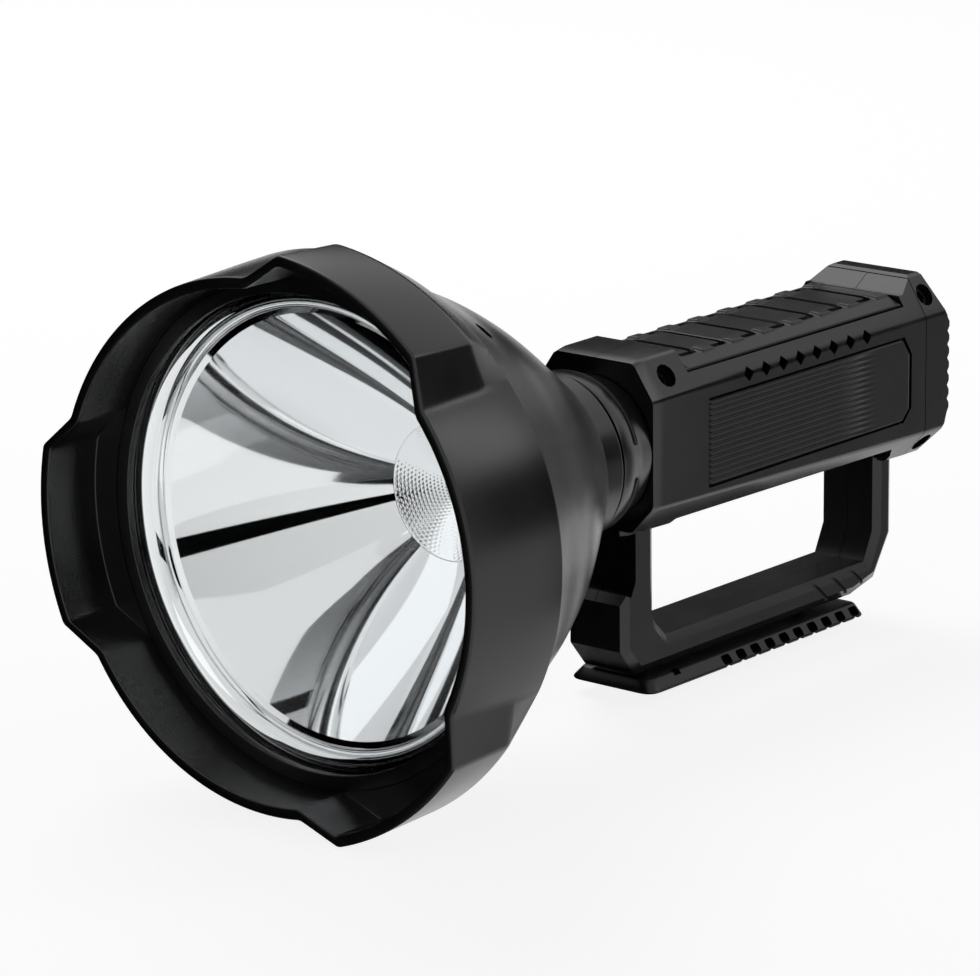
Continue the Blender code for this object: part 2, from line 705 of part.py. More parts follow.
def bell(parent, material):
    """Turn the bell, an open shell that narrows to the boss of the neck."""
    stations = [bell_front + share * BELL_LENGTH for share, _ in BELL_PROFILE_SHARES]
    outside = [(bell_front_radius - BELL_FRONT_BREAK, bell_front)]
    outside += [(bell_front_radius, bell_front + BELL_FRONT_BREAK)]
    outside += [(bell_radius(y), y) for y in stations[1:]]
    outside += [(BOSS_RADIUS, bell_back + BOSS_TAPER), (BOSS_RADIUS, boss_back - EDGE_BREAK)]
    outside += [(BOSS_RADIUS - EDGE_BREAK, boss_back)]
    inside = [(neck_bore, boss_back), (neck_bore, bell_back)]
    inside += [(bell_inside(y), y) for y in stations[::-2] + stations[:1]]
    piece = place(turned_mesh("bell", outside + inside, ROUND_SIDES), parent, material)
    for index in range(BELL_SCREW_COUNT):
        combine(piece, bell_screw_hole(parent, index, "head", BELL_SCREW_HEAD_RADIUS + SEAT_GAP), "DIFFERENCE")
    return piece


def neck_tube(parent, material):
    """Turn the threaded tube that joins the bell to the handle."""
    inner = NECK_TUBE_RADIUS - NECK_TUBE_WALL
    back = tube_front + NECK_TUBE_LENGTH
    profile = [(inner, tube_front), (NECK_TUBE_RADIUS - EDGE_BREAK, tube_front),
               (NECK_TUBE_RADIUS, tube_front + EDGE_BREAK), (NECK_TUBE_RADIUS, back), (inner, back)]
    return place(turned_mesh("neck_tube", profile, NECK_SIDES), parent, material)


def neck_seal(parent, material):
    """Turn the seal ring in the groove between boss and collar."""
    front = boss_back + SEAT_GAP
    back = collar_front - SEAT_GAP
    return square_ring("neck_seal", neck_bore, NECK_SEAL_RADIUS, front, back, NECK_SIDES, parent, material)


def collar_rib(parent, index):
    """Make one thin arc rib with tapered ends, to be joined to the collar."""
    root = COLLAR_BACK_RADIUS - NECK_TUBE_WALL / 2
    middle = collar_front + COLLAR_RIB_SETBACK + COLLAR_RIB_WIDTH / 2
    start = COLLAR_RIB_TURN + math.tau * index / COLLAR_RIB_COUNT
    loops = []
    for part in range(COLLAR_RIB_STEPS + 1):
        turn = start + COLLAR_RIB_ANGLE * part / COLLAR_RIB_STEPS
        half = COLLAR_RIB_WIDTH / (4 if part in (0, COLLAR_RIB_STEPS) else 2)
        across = Vector((math.cos(turn), 0, math.sin(turn)))
        corners = ((root, -half), (COLLAR_RIB_RADIUS, -half), (COLLAR_RIB_RADIUS, half), (root, half))
        loops.append([across * radius + Vector((0, middle + y, 0)) for radius, y in corners])
    return place(lofted_mesh(f"collar_rib_{index + 1}", loops), parent)


def neck_collar(parent, material):
    """Turn the collar and join its raised arc ribs."""
    profile = [(neck_bore, collar_front), (COLLAR_FRONT_RADIUS - EDGE_BREAK, collar_front),
               (COLLAR_FRONT_RADIUS, collar_front + EDGE_BREAK),
               (COLLAR_BACK_RADIUS, collar_back - EDGE_BREAK),
               (COLLAR_BACK_RADIUS - EDGE_BREAK, collar_back), (neck_bore, collar_back)]
    piece = place(turned_mesh("neck_collar", profile, NECK_SIDES), parent, material)
    for index in range(COLLAR_RIB_COUNT):
        combine(piece, collar_rib(parent, index), "UNION")
    return piece


def grip_outline(share):
    """Return the grip's octagon at a share of the way from its front to its back."""
    top = GRIP_TOP + GRIP_REAR_RISE * share
    side = GRIP_SIDE_BOTTOM - GRIP_REAR_DROP * share
    base = side - GRIP_LOWER_DROP
    half = [(GRIP_TOP_HALF_WIDTH, top), (GRIP_HALF_WIDTH, grip_shoulder), (GRIP_HALF_WIDTH, side),
            (GRIP_LOWER_HALF_WIDTH, base)]
    return half + [(-x, z) for x, z in half[::-1]]


def grip_loop(share, y, inset):
    """Return the octagon with broken corners, moved inwards and placed along the axis."""
    outline = cut_corners(inset_outline(grip_outline(share), inset), GRIP_CORNER_BREAK)
    return [flat_point(x, z, "Y", y) for x, z in outline]


def loop_outline():
    """Return the outer side view of the loop, from the grip's underside round the bar."""
    return [(grip_front, 0), (grip_front, bar_bottom + LOOP_CHAMFER_RISE),
            (grip_front + LOOP_FRONT_CHAMFER, bar_bottom),
            (loop_back - LOOP_REAR_CHAMFER - LOOP_REAR_SLOPE, bar_bottom),
            (loop_back - LOOP_REAR_CHAMFER, bar_bottom + LOOP_REAR_RISE),
            (loop_back, bar_bottom + LOOP_REAR_HEIGHT), (loop_back, rear_base - SEAT_GAP),
            (cavity_back - CAVITY_REAR_WALL, 0)]


def bevelled_slab(name, outline, inset, half, edge):
    """Return a slab of a side view whose long edges are bevelled, or flared with a negative inset."""
    inner = inset_outline(outline, inset)
    loops = []
    for along, shape in ((-half, inner), (-half + edge, outline), (half - edge, outline), (half, inner)):
        loops.append([flat_point(a, b, "X", along) for a, b in shape])
    return lofted_mesh(name, loops)


def loop_solid(parent):
    """Make the legs and the lower bar as one body that is joined to each half of the grip."""
    mesh = bevelled_slab("loop_body", loop_outline(), LOOP_EDGE_LENGTH, LOOP_HALF_WIDTH, LOOP_EDGE_BREAK)
    return place(mesh, parent)


def leg_recess_cutter(parent):
    """Make the cutter of the stepped recess in the front leg under the grip."""
    front = grip_front - OVERRUN
    outline = [(front, LEG_RECESS_TOP), (recess_back, LEG_RECESS_TOP), (recess_back, recess_bottom)]
    outline += [(grip_front + depth, recess_bottom - drop) for depth, drop in LEG_RECESS_STEPS]
    outline.append((front, outline[-1][1]))
    reach = LOOP_HALF_WIDTH + OVERRUN
    return place(prism_mesh("leg_recess_cut", outline, "X", -reach, reach), parent)


def opening_outline():
    """Return the finger opening seen from the side."""
    return [(opening_front + OPENING_UPPER_CORNER, OPENING_TOP), (opening_front, OPENING_TOP - OPENING_UPPER_CORNER),
            (opening_front, bar_top + OPENING_FRONT_CORNER), (opening_front + OPENING_FRONT_CORNER, bar_top),
            (opening_back - OPENING_REAR_CORNER, bar_top), (opening_back, bar_top + 2 * OPENING_REAR_CORNER),
            (opening_back, OPENING_TOP - OPENING_UPPER_CORNER), (opening_back - OPENING_UPPER_CORNER, OPENING_TOP)]


def opening_cutter(parent):
    """Make the cutter of the finger opening, flared at both sides so that the bar's edges are bevelled."""
    mesh = bevelled_slab("opening_cut", opening_outline(), -LOOP_EDGE_LENGTH, LOOP_HALF_WIDTH, LOOP_EDGE_BREAK)
    return place(mesh, parent)


def opening_clearance(parent):
    """Make the cutter that opens the legs over their full width."""
    reach = GRIP_HALF_WIDTH + OVERRUN
    return place(prism_mesh("opening_clear", opening_outline(), "X", -reach, reach), parent)


def cavity_cutter(parent):
    """Make the cutter of the room for the cells and the board."""
    outline = cut_corners(box_outline(-cavity_half_width, cavity_half_width, -cavity_half_height,
                                      cavity_half_height), CAVITY_CORNER)
    return place(prism_mesh("cavity_cut", outline, "Y", cavity_front, cavity_back), parent)


def passage_cutter(parent):
    """Make the cutter of the way from the grip into the rear cap."""
    outline = box_outline(-PASSAGE_HALF_WIDTH, PASSAGE_HALF_WIDTH, PASSAGE_BOTTOM, PASSAGE_TOP)
    start = cavity_back - CAVITY_REAR_WALL
    return place(prism_mesh("passage_cut", outline, "Y", start, cap_back + OVERRUN), parent)


def neck_bore_cutter(parent):
    """Make the cutter of the neck tube's bore in the grip's front block."""
    profile = [(neck_bore, grip_front - OVERRUN), (neck_bore, cavity_front + OVERRUN)]
    return place(turned_mesh("neck_bore_cut", profile, NECK_SIDES, ring=False), parent)


def pad_recess_cutter(parent):
    """Make the cutter of the pad's recess with its ramp up to the rear cap."""
    high = rear_top + OVERRUN
    ramp_foot = pad_top - SEAT_GAP
    run = PAD_RAMP_LENGTH / PAD_RAMP_RISE
    ramp_front = pad_back + PAD_RAMP_SETBACK
    front = pad_front - SEAT_GAP
    back = pad_back + SEAT_GAP
    outline = [(front, pad_floor), (back, pad_floor), (back, ramp_foot), (ramp_front, ramp_foot),
               (ramp_front + (high - ramp_foot) * run, high), (front - PAD_THICKNESS / 2, high)]
    reach = GRIP_HALF_WIDTH + OVERRUN
    return place(prism_mesh("pad_recess_cut", outline, "X", -reach, reach), parent)


def panel_outline(clearance):
    """Return a side panel's outline with its cut corners at the rear."""
    front = grip_front + PANEL_SETBACK + clearance
    back = front + PANEL_LENGTH - 2 * clearance
    top = PANEL_TOP - clearance
    low = PANEL_BOTTOM + clearance
    return [(front, low), (back - PANEL_CORNER, low), (back, low + PANEL_CORNER),
            (back, top - 1.5 * PANEL_CORNER), (back - PANEL_CORNER, top), (front, top)]


def panel_recess_cutter(parent, side):
    """Make the cutter of the recess that takes a side panel."""
    ends = sorted((side * (GRIP_HALF_WIDTH - PANEL_RECESS), side * (GRIP_HALF_WIDTH + OVERRUN)))
    name = "panel_recess_right" if side > 0 else "panel_recess_left"
    return place(prism_mesh(name, panel_outline(0), "X", *ends), parent)


def side_panel(parent, material, side):
    """Make a side panel whose face carries fine ribs along the grip."""
    name = "side_panel_right" if side > 0 else "side_panel_left"
    inner = GRIP_HALF_WIDTH - PANEL_RECESS + SEAT_GAP
    outline = panel_outline(PANEL_CLEARANCE)
    lows = [z for _, z in outline]
    low, high = min(lows), max(lows)
    pitch = (high - low) / PANEL_RIB_COUNT
    section = [(inner, high), (inner, low)]
    for index in range(PANEL_RIB_COUNT):
        for share, rise in ((0.0, 0.0), (0.25, PANEL_RIB_HEIGHT), (0.55, PANEL_RIB_HEIGHT), (0.8, 0.0)):
            section.append((GRIP_HALF_WIDTH + rise, low + pitch * (index + share)))
    section.append((GRIP_HALF_WIDTH, high))
    section = [(side * x, z) for x, z in section]
    stations = [y for y, _ in outline]
    front, back = min(stations), max(stations)
    piece = place(prism_mesh(name, section, "Y", front, back), parent, material)
    ends = sorted((side * (inner - OVERRUN), side * (GRIP_HALF_WIDTH + OVERRUN)))
    trim = place(prism_mesh(f"{name}_trim", panel_trim_outline(outline), "X", *ends), parent)
    combine(piece, trim, "INTERSECT")
    return piece


def panel_trim_outline(outline):
    """Return the panel's outline with its straight front edge and long edges moved outside the ribs."""
    lows = [z for _, z in outline]
    front = min(y for y, _ in outline)
    moved = []
    for y, z in outline:
        shift = OVERRUN if z == max(lows) else -OVERRUN if z == min(lows) else 0
        moved.append((y - OVERRUN if y == front else y - abs(shift), z + shift))
    return moved


def top_pad(parent, material):
    """Make the pad on top of the grip with its cross grooves."""
    low = pad_floor + SEAT_GAP
    side_top = low + EDGE_BREAK
    outline = [(-pad_half_width, low), (pad_half_width, low), (pad_half_width - EDGE_BREAK / 2, side_top),
               (PAD_TOP_HALF_WIDTH, pad_top), (-PAD_TOP_HALF_WIDTH, pad_top),
               (-pad_half_width + EDGE_BREAK / 2, side_top)]
    piece = place(prism_mesh("top_pad", outline, "Y", pad_front, pad_back), parent, material)
    for index in range(PAD_GROOVE_COUNT):
        middle = pad_front + PAD_GROOVE_FIRST + PAD_GROOVE_PITCH * index
        half = PAD_GROOVE_WIDTH / 2
        section = [(middle - half, pad_top - PAD_GROOVE_DEPTH), (middle + half, pad_top - PAD_GROOVE_DEPTH),
                   (middle + half, pad_top + OVERRUN), (middle - half, pad_top + OVERRUN)]
        mesh = prism_mesh(f"pad_groove_{index + 1}", section, "X", -PAD_GROOVE_HALF_LENGTH, PAD_GROOVE_HALF_LENGTH)
        combine(piece, place(mesh, parent), "DIFFERENCE")
    return piece


def edge_direction():
    """Return the outward direction of the grip's upper chamfer on the right side."""
    return Vector((GRIP_CHAMFER_DROP, 0, GRIP_HALF_WIDTH - GRIP_TOP_HALF_WIDTH)).normalized()


def notch_cutters(parent, side):
    """Make the cutters of the diamond notches along one upper edge."""
    cutters = []
    outward = (edge_direction() + Vector((1, 0, 0))).normalized()
    outward.x *= side
    for index in range(NOTCH_COUNT):
        seat = Vector((side * GRIP_HALF_WIDTH, grip_front + NOTCH_FIRST + NOTCH_PITCH * index, grip_shoulder))
        steps = [(-NOTCH_DEPTH, NOTCH_RADIUS * NOTCH_TAPER), (OVERRUN / 2, NOTCH_RADIUS / NOTCH_TAPER)]
        name = f"notch_{'right' if side > 0 else 'left'}_{index + 1}"
        cutters.append(place(rod_mesh(name, seat, outward, steps, 4), parent))
    return cutters


def groove_cutters(parent, side):
    """Make the cutters of the slanted grooves on one side of the lower bar."""
    cutters = []
    for index in range(BAR_GROOVE_COUNT):
        front = grip_front + BAR_GROOVE_FIRST + BAR_GROOVE_PITCH * index
        back = front + BAR_GROOVE_WIDTH
        low = bar_bottom - OVERRUN
        high = bar_top + LOOP_EDGE_BREAK
        outline = [(front + BAR_GROOVE_SLANT, low), (back + BAR_GROOVE_SLANT, low), (back, high), (front, high)]
        ends = sorted((side * (LOOP_HALF_WIDTH - BAR_GROOVE_DEPTH), side * (LOOP_HALF_WIDTH + OVERRUN)))
        name = f"bar_groove_{'right' if side > 0 else 'left'}_{index + 1}"
        cutters.append(place(prism_mesh(name, outline, "X", *ends), parent))
    return cutters


def chamfer_place(share, upper, side, y):
    """Return the middle of one of the grip's chamfers and its outward direction."""
    outline = grip_outline(share)
    start, end = (outline[0], outline[1]) if upper else (outline[2], outline[3])
    way = Vector(end) - Vector(start)
    outward = Vector((-way.y, way.x)).normalized()
    if outward.x < 0:
        outward = -outward
    middle = (Vector(start) + Vector(end)) / 2
    return Vector((side * middle.x, y, middle.y)), Vector((side * outward.x, 0, outward.y))


def corner_screw_places():
    """List the name, seat, direction and sink of every corner screw."""
    front = grip_front + FRONT_SCREW_SETBACK
    rear = cap_front + CAP_SCREW_SETBACK
    places = [(f"front_screw_{index + 1}", *chamfer_place(0, True, side, front), FRONT_SCREW_SINK)
              for index, side in enumerate((1, -1))]
    corners = ((1, True), (-1, True), (1, False), (-1, False))
    places += [(f"cap_screw_{index + 1}", *chamfer_place(1, upper, side, rear), CAP_SCREW_SINK)
               for index, (side, upper) in enumerate(corners)]
    return places


def corner_screw_hole(parent, name, seat, outward, radius, depth):
    """Make the cutter of a corner screw's hole."""
    steps = [(-depth, radius), (OVERRUN, radius)]
    return place(rod_mesh(name, seat, outward, steps, SMALL_SIDES), parent)


def corner_screw(parent, material, name, seat, outward, sink):
    """Make one corner screw, sunk under the chamfer's face."""
    top = -sink
    neck = top - CORNER_SCREW_HEIGHT
    steps = [(top - CORNER_SCREW_GRIP, CORNER_SCREW_SHANK), (neck, CORNER_SCREW_SHANK),
             (neck, CORNER_SCREW_RADIUS), (top, CORNER_SCREW_RADIUS)]
    return place(rod_mesh(name, seat, outward, steps, SMALL_SIDES, socket=True), parent, material)


def corner_cutters(parent):
    """Make the head and shank cutters of the corner screws, those of the grip apart from those of the cap."""
    heads, shanks = {}, {}
    for name, seat, outward, sink in corner_screw_places():
        heads[name] = corner_screw_hole(parent, f"{name}_head_cut", seat, outward,
                                        CORNER_SCREW_RADIUS + SEAT_GAP, sink + CORNER_SCREW_HEIGHT + SEAT_GAP)
        shanks[name] = corner_screw_hole(parent, f"{name}_shank_cut", seat, outward,
                                         CORNER_SCREW_SHANK + SEAT_GAP, sink + CORNER_SCREW_GRIP + SEAT_GAP)
    return heads, shanks


def handle_cutters(parent):
    """Make every cutter that both halves of the handle share."""
    heads, shanks = corner_cutters(parent)
    recess = pad_recess_cutter(parent)
    shared = [opening_cutter(parent), opening_clearance(parent), leg_recess_cutter(parent), cavity_cutter(parent),
              passage_cutter(parent), neck_bore_cutter(parent), recess]
    feet = [foot_hole(parent, index, y) for index, y in enumerate(foot_screw_stations())]
    return {"shared": shared + feet, "feet": feet, "heads": heads, "shanks": shanks, "recess": recess}


def handle_shell(parent, material, side, loop_body, cutters):
    """Make one half of the handle: half a grip, half the legs and half the lower bar."""
    word = "right" if side > 0 else "left"
    spigot_inset = CAP_WALL + SEAT_GAP
    spigot_end = cap_front + CAP_SPIGOT_LENGTH
    loops = [grip_loop(0, grip_front, GRIP_FRONT_INSET), grip_loop(0, grip_front + GRIP_FRONT_BEVEL, 0),
             grip_loop(1, grip_back, 0), grip_loop(1, grip_back, spigot_inset),
             grip_loop(1, spigot_end, spigot_inset)]
    piece = place(lofted_mesh(f"handle_shell_{word}", loops), parent, material)
    combine(piece, loop_body, "UNION")
    for cutter in cutters["shared"]:
        combine(piece, cutter, "DIFFERENCE")
    combine(piece, panel_recess_cutter(parent, side), "DIFFERENCE")
    for cutter in notch_cutters(parent, side) + groove_cutters(parent, side):
        combine(piece, cutter, "DIFFERENCE")
    for name, seat, _, _ in corner_screw_places():
        if seat.x * side > 0:
            combine(piece, cutters["shanks"][name], "DIFFERENCE")
            if name.startswith("front"):
                combine(piece, cutters["heads"][name], "DIFFERENCE")
    reach = GRIP_HALF_WIDTH + OVERRUN
    outline = box_outline(grip_front - OVERRUN, cap_back, bar_bottom - OVERRUN, rear_top + OVERRUN)
    ends = sorted((side * PARTING_GAP / 2, side * reach))
    half = place(prism_mesh(f"half_{word}", outline, "X", *ends), parent)
    combine(piece, half, "INTERSECT")
    return piece


def battery_cell(parent, material, index):
    """Make one battery cell with its raised terminal."""
    side = 1 if index == 0 else -1
    start = Vector((side * cell_shift_x, cell_front, side * cell_shift_z))
    neck = CELL_LENGTH - EDGE_BREAK
    steps = [(0, CELL_RADIUS - EDGE_BREAK), (EDGE_BREAK, CELL_RADIUS), (neck, CELL_RADIUS),
             (CELL_LENGTH, CELL_RADIUS - EDGE_BREAK), (CELL_LENGTH, CELL_TERMINAL_RADIUS),
             (CELL_LENGTH + CELL_TERMINAL_HEIGHT, CELL_TERMINAL_RADIUS)]
    mesh = rod_mesh(f"battery_cell_{index + 1}", start, (0, 1, 0), steps, CELL_SIDES)
    return place(mesh, parent, material)


def driver_board(parent, material):
    """Make the circuit board that lies on the cavity's floor in front of the cells."""
    half = cavity_half_width - CAVITY_CORNER
    low = -cavity_half_height + SEAT_GAP
    outline = box_outline(-half, half, board_front, board_front + board_length)
    return place(prism_mesh("driver_board", cut_corners(outline, EDGE_BREAK), "Z", low, low + BOARD_THICKNESS),
                 parent, material)


def wave_edge():
    """Return the rear edge of the cap seen from the side: sloped ends and a row of round waves between them."""
    pitch = (CAP_FACE_TOP - CAP_FACE_BOTTOM) / CAP_WAVE_COUNT
    points = [(cap_shoulder, rear_base - SEAT_GAP)]
    for index in range(CAP_WAVE_COUNT):
        for part in range(CAP_WAVE_STEPS):
            share = part / CAP_WAVE_STEPS
            rise = CAP_WAVE_HEIGHT * (math.sin(math.pi * share) - 1)
            points.append((cap_back + rise, CAP_FACE_BOTTOM + pitch * (index + share)))
    return points + [(cap_back - CAP_WAVE_HEIGHT, CAP_FACE_TOP), (cap_shoulder, rear_top + SEAT_GAP)]


def rear_cap(parent, material, cutters):
    """Make the rear cap: the grip's octagon trimmed by a waved side view and hollowed from the front."""
    loops = [grip_loop(1, cap_front, 0), grip_loop(1, cap_back + OVERRUN, 0)]
    piece = place(lofted_mesh("rear_cap", loops), parent, material)
    edge = wave_edge()
    front = cap_front - OVERRUN
    side_view = [(front, edge[0][1])] + edge + [(front, edge[-1][1])]
    reach = GRIP_HALF_WIDTH + OVERRUN
    combine(piece, place(prism_mesh("cap_side_view", side_view, "X", -reach, reach), parent), "INTERSECT")
    hollow = [grip_loop(1, front, CAP_WALL), grip_loop(1, cap_cavity_back, CAP_WALL)]
    combine(piece, place(lofted_mesh("cap_hollow_cut", hollow), parent), "DIFFERENCE")
    for cutter in [cutters["recess"]] + cap_face_cutters(parent):
        combine(piece, cutter, "DIFFERENCE")
    for name in cutters["heads"]:
        if name.startswith("cap"):
            combine(piece, cutters["heads"][name], "DIFFERENCE")
            combine(piece, cutters["shanks"][name], "DIFFERENCE")
    return piece


def cap_face_cutters(parent):
    """Make the cutters of the pocket, the button's bore, the port's slot and the pin's seats."""
    pocket = cut_corners(box_outline(-CAP_POCKET_HALF_WIDTH, CAP_POCKET_HALF_WIDTH, CAP_POCKET_BOTTOM,
                                     CAP_POCKET_TOP), EDGE_BREAK * 2)
    bore = BUTTON_RADIUS + SEAT_GAP
    slot_x = PORT_HALF_WIDTH + SEAT_GAP
    slot_z = PORT_HALF_HEIGHT + SEAT_GAP
    slot = box_outline(-slot_x, slot_x, PORT_HEIGHT - slot_z, PORT_HEIGHT + slot_z)
    start = Vector((0, cap_cavity_back - OVERRUN / 2, BUTTON_HEIGHT))
    reach = CAP_POCKET_HALF_WIDTH + PIN_SEAT_DEPTH
    pin_start = Vector((-reach, flap_axis_y, FLAP_AXIS_HEIGHT))
    seat = PIN_RADIUS + SEAT_GAP
    return [place(prism_mesh("pocket_cut", pocket, "Y", pocket_floor, cap_back + OVERRUN), parent),
            place(rod_mesh("button_bore_cut", start, (0, 1, 0), [(0, bore), (CAP_LENGTH, bore)], BUTTON_SIDES),
                  parent),
            place(prism_mesh("port_slot_cut", slot, "Y", cap_cavity_back - OVERRUN / 2, cap_back), parent),
            place(rod_mesh("pin_seat_cut", pin_start, (1, 0, 0), [(0, seat), (2 * reach, seat)], SMALL_SIDES),
                  parent)]


def power_button(parent, material):
    """Make the push button with the flange that keeps it in the cap."""
    flange_back = cap_cavity_back - SEAT_GAP
    flange_front_y = flange_back - BUTTON_FLANGE_THICKNESS
    stem = flange_back - flange_front_y
    top = pocket_floor + BUTTON_RISE - flange_front_y
    steps = [(0, BUTTON_RADIUS + BUTTON_FLANGE), (stem, BUTTON_RADIUS + BUTTON_FLANGE), (stem, BUTTON_RADIUS),
             (top - EDGE_BREAK, BUTTON_RADIUS), (top, BUTTON_RADIUS - EDGE_BREAK)]
    mover = bpy.data.objects.new("button_axis", None)
    mover.parent = parent
    mover.location = (0, flange_front_y, BUTTON_HEIGHT)
    bpy.context.collection.objects.link(mover)
    mesh = rod_mesh("power_button", (0, 0, 0), (0, 1, 0), steps, BUTTON_SIDES)
    return place(mesh, mover, material)


def power_switch(parent, material):
    """Make the switch that the button presses, held between the passage's walls."""
    back = cap_cavity_back - 2 * SEAT_GAP - BUTTON_FLANGE_THICKNESS - BUTTON_TRAVEL
    half = PASSAGE_HALF_WIDTH - SEAT_GAP
    outline = box_outline(-half, half, BUTTON_HEIGHT - SWITCH_HALF_HEIGHT, BUTTON_HEIGHT + SWITCH_HALF_HEIGHT)
    return place(prism_mesh("power_switch", cut_corners(outline, EDGE_BREAK), "Y", back - SWITCH_LENGTH, back),
                 parent, material)


def charge_port(parent, material):
    """Make the charging socket, a flat tube with a closed back."""
    mouth = pocket_floor - PORT_SETBACK
    outer = cut_corners(box_outline(-PORT_HALF_WIDTH, PORT_HALF_WIDTH, PORT_HEIGHT - PORT_HALF_HEIGHT,
                                    PORT_HEIGHT + PORT_HALF_HEIGHT), PORT_HALF_HEIGHT / 2)
    inner = inset_outline(outer, PORT_WALL)
    stations = [(mouth - PORT_LENGTH, outer), (mouth, outer), (mouth, inner), (mouth - PORT_MOUTH_DEPTH, inner)]
    loops = [[flat_point(x, z, "Y", y) for x, z in outline] for y, outline in stations]
    return place(lofted_mesh("charge_port", loops), parent, material)


def port_flap(parent, material):
    """Make the hinged flap over the port: a barrel about its pin and the plate above it."""
    hinge = bpy.data.objects.new("flap_hinge", None)
    hinge.parent = parent
    hinge.location = (0, flap_axis_y, FLAP_AXIS_HEIGHT)
    bpy.context.collection.objects.link(hinge)
    half = FLAP_HALF_WIDTH
    inner = -FLAP_BARREL_RADIUS
    outer = inner + FLAP_THICKNESS
    height = FLAP_TOP - FLAP_AXIS_HEIGHT
    section = [(inner, height)]
    sweep = math.pi + math.acos(outer / FLAP_BARREL_RADIUS)
    for index in range(SMALL_SIDES + 1):
        turn = math.pi + sweep * index / SMALL_SIDES
        section.append((FLAP_BARREL_RADIUS * math.cos(turn), FLAP_BARREL_RADIUS * math.sin(turn)))
    section += [(outer, height - EDGE_BREAK), (outer - EDGE_BREAK, height)]
    piece = place(prism_mesh("port_flap", section, "X", -half, half), hinge, material)
    bore = PIN_RADIUS + SEAT_GAP
    start = (-half - OVERRUN, 0, 0)
    steps = [(0, bore), (2 * (half + OVERRUN), bore)]
    combine(piece, place(rod_mesh("flap_bore_cut", start, (1, 0, 0), steps, SMALL_SIDES), hinge), "DIFFERENCE")
    return piece


def flap_pin(parent, material):
    """Make the pin that the flap turns on."""
    reach = CAP_POCKET_HALF_WIDTH + PIN_SEAT_DEPTH - SEAT_GAP
    start = (-reach, flap_axis_y, FLAP_AXIS_HEIGHT)
    return place(rod_mesh("flap_pin", start, (1, 0, 0), [(0, PIN_RADIUS), (2 * reach, PIN_RADIUS)], SMALL_SIDES),
                 parent, material)


def foot_screw_stations():
    """Return the places of the foot's screws along the axis."""
    return [foot_front + FOOT_BOSS_SETBACK, foot_front + FOOT_LENGTH - FOOT_BOSS_SETBACK]


def foot_rail(parent, material, cutters):
    """Make the foot rail, wider at its tread: a notched side view, two bosses and the screw holes."""
    back = foot_front + FOOT_LENGTH
    outline = [(foot_front, foot_top), (foot_front, foot_bottom + FOOT_FRONT_CHAMFER),
               (foot_front + FOOT_FRONT_CHAMFER, foot_bottom)]
    for index in range(FOOT_NOTCH_COUNT):
        middle = foot_front + FOOT_NOTCH_FIRST + foot_notch_pitch * index
        for part in range(FOOT_NOTCH_STEPS + 1):
            turn = math.pi * (1 - part / FOOT_NOTCH_STEPS)
            outline.append((middle + FOOT_NOTCH_RADIUS * math.cos(turn),
                            foot_bottom + FOOT_NOTCH_RADIUS * math.sin(turn)))
    outline += [(back - EDGE_BREAK, foot_bottom), (back, foot_bottom + EDGE_BREAK), (back, foot_top)]
    reach = FOOT_HALF_WIDTH + OVERRUN
    piece = place(prism_mesh("foot_rail", outline, "X", -reach, reach), parent, material)
    loops = []
    for z, half in ((foot_bottom - SEAT_GAP, FOOT_HALF_WIDTH), (foot_top + SEAT_GAP, FOOT_TOP_HALF_WIDTH)):
        plan = cut_corners(box_outline(-half, half, foot_front, back), FOOT_CORNER)
        loops.append([flat_point(x, y, "Z", z) for x, y in plan])
    combine(piece, place(lofted_mesh("foot_plan", loops), parent), "INTERSECT")
    for index, y in enumerate(foot_screw_stations()):
        start = (0, y, foot_top - FOOT_TOP_GAP)
        rise = [(0, FOOT_BOSS_RADIUS), (2 * FOOT_TOP_GAP - SEAT_GAP, FOOT_BOSS_RADIUS)]
        boss = place(rod_mesh(f"foot_boss_{index + 1}", start, (0, 0, 1), rise, SMALL_SIDES), parent)
        combine(piece, boss, "UNION")
        combine(piece, cutters["feet"][index], "DIFFERENCE")
    return piece


def foot_hole(parent, index, y):
    """Make the stepped cutter of a foot screw's hole."""
    head = FOOT_SCREW_HEAD_RADIUS + SEAT_GAP
    shank = FOOT_SCREW_SHANK + SEAT_GAP
    ledge = FOOT_SCREW_SINK + FOOT_SCREW_HEAD_HEIGHT + SEAT_GAP
    steps = [(-OVERRUN, head), (ledge, head), (ledge, shank), (bar_top - foot_bottom - OVERRUN / 2, shank)]
    return place(rod_mesh(f"foot_hole_{index + 1}", (0, y, foot_bottom), (0, 0, 1), steps, SMALL_SIDES), parent)


def foot_screw(parent, material, index):
    """Make one screw that holds the foot rail to the lower bar."""
    y = foot_screw_stations()[index]
    neck = FOOT_SCREW_SINK + FOOT_SCREW_HEAD_HEIGHT
    steps = [(neck + FOOT_SCREW_LENGTH - FOOT_SCREW_HEAD_HEIGHT, FOOT_SCREW_SHANK), (neck, FOOT_SCREW_SHANK),
             (neck, FOOT_SCREW_HEAD_RADIUS), (FOOT_SCREW_SINK, FOOT_SCREW_HEAD_RADIUS)]
    flipped = [(-distance, radius) for distance, radius in steps]
    mesh = rod_mesh(f"foot_screw_{index + 1}", (0, y, foot_bottom), (0, 0, -1), flipped, SMALL_SIDES, socket=True)
    return place(mesh, parent, material)


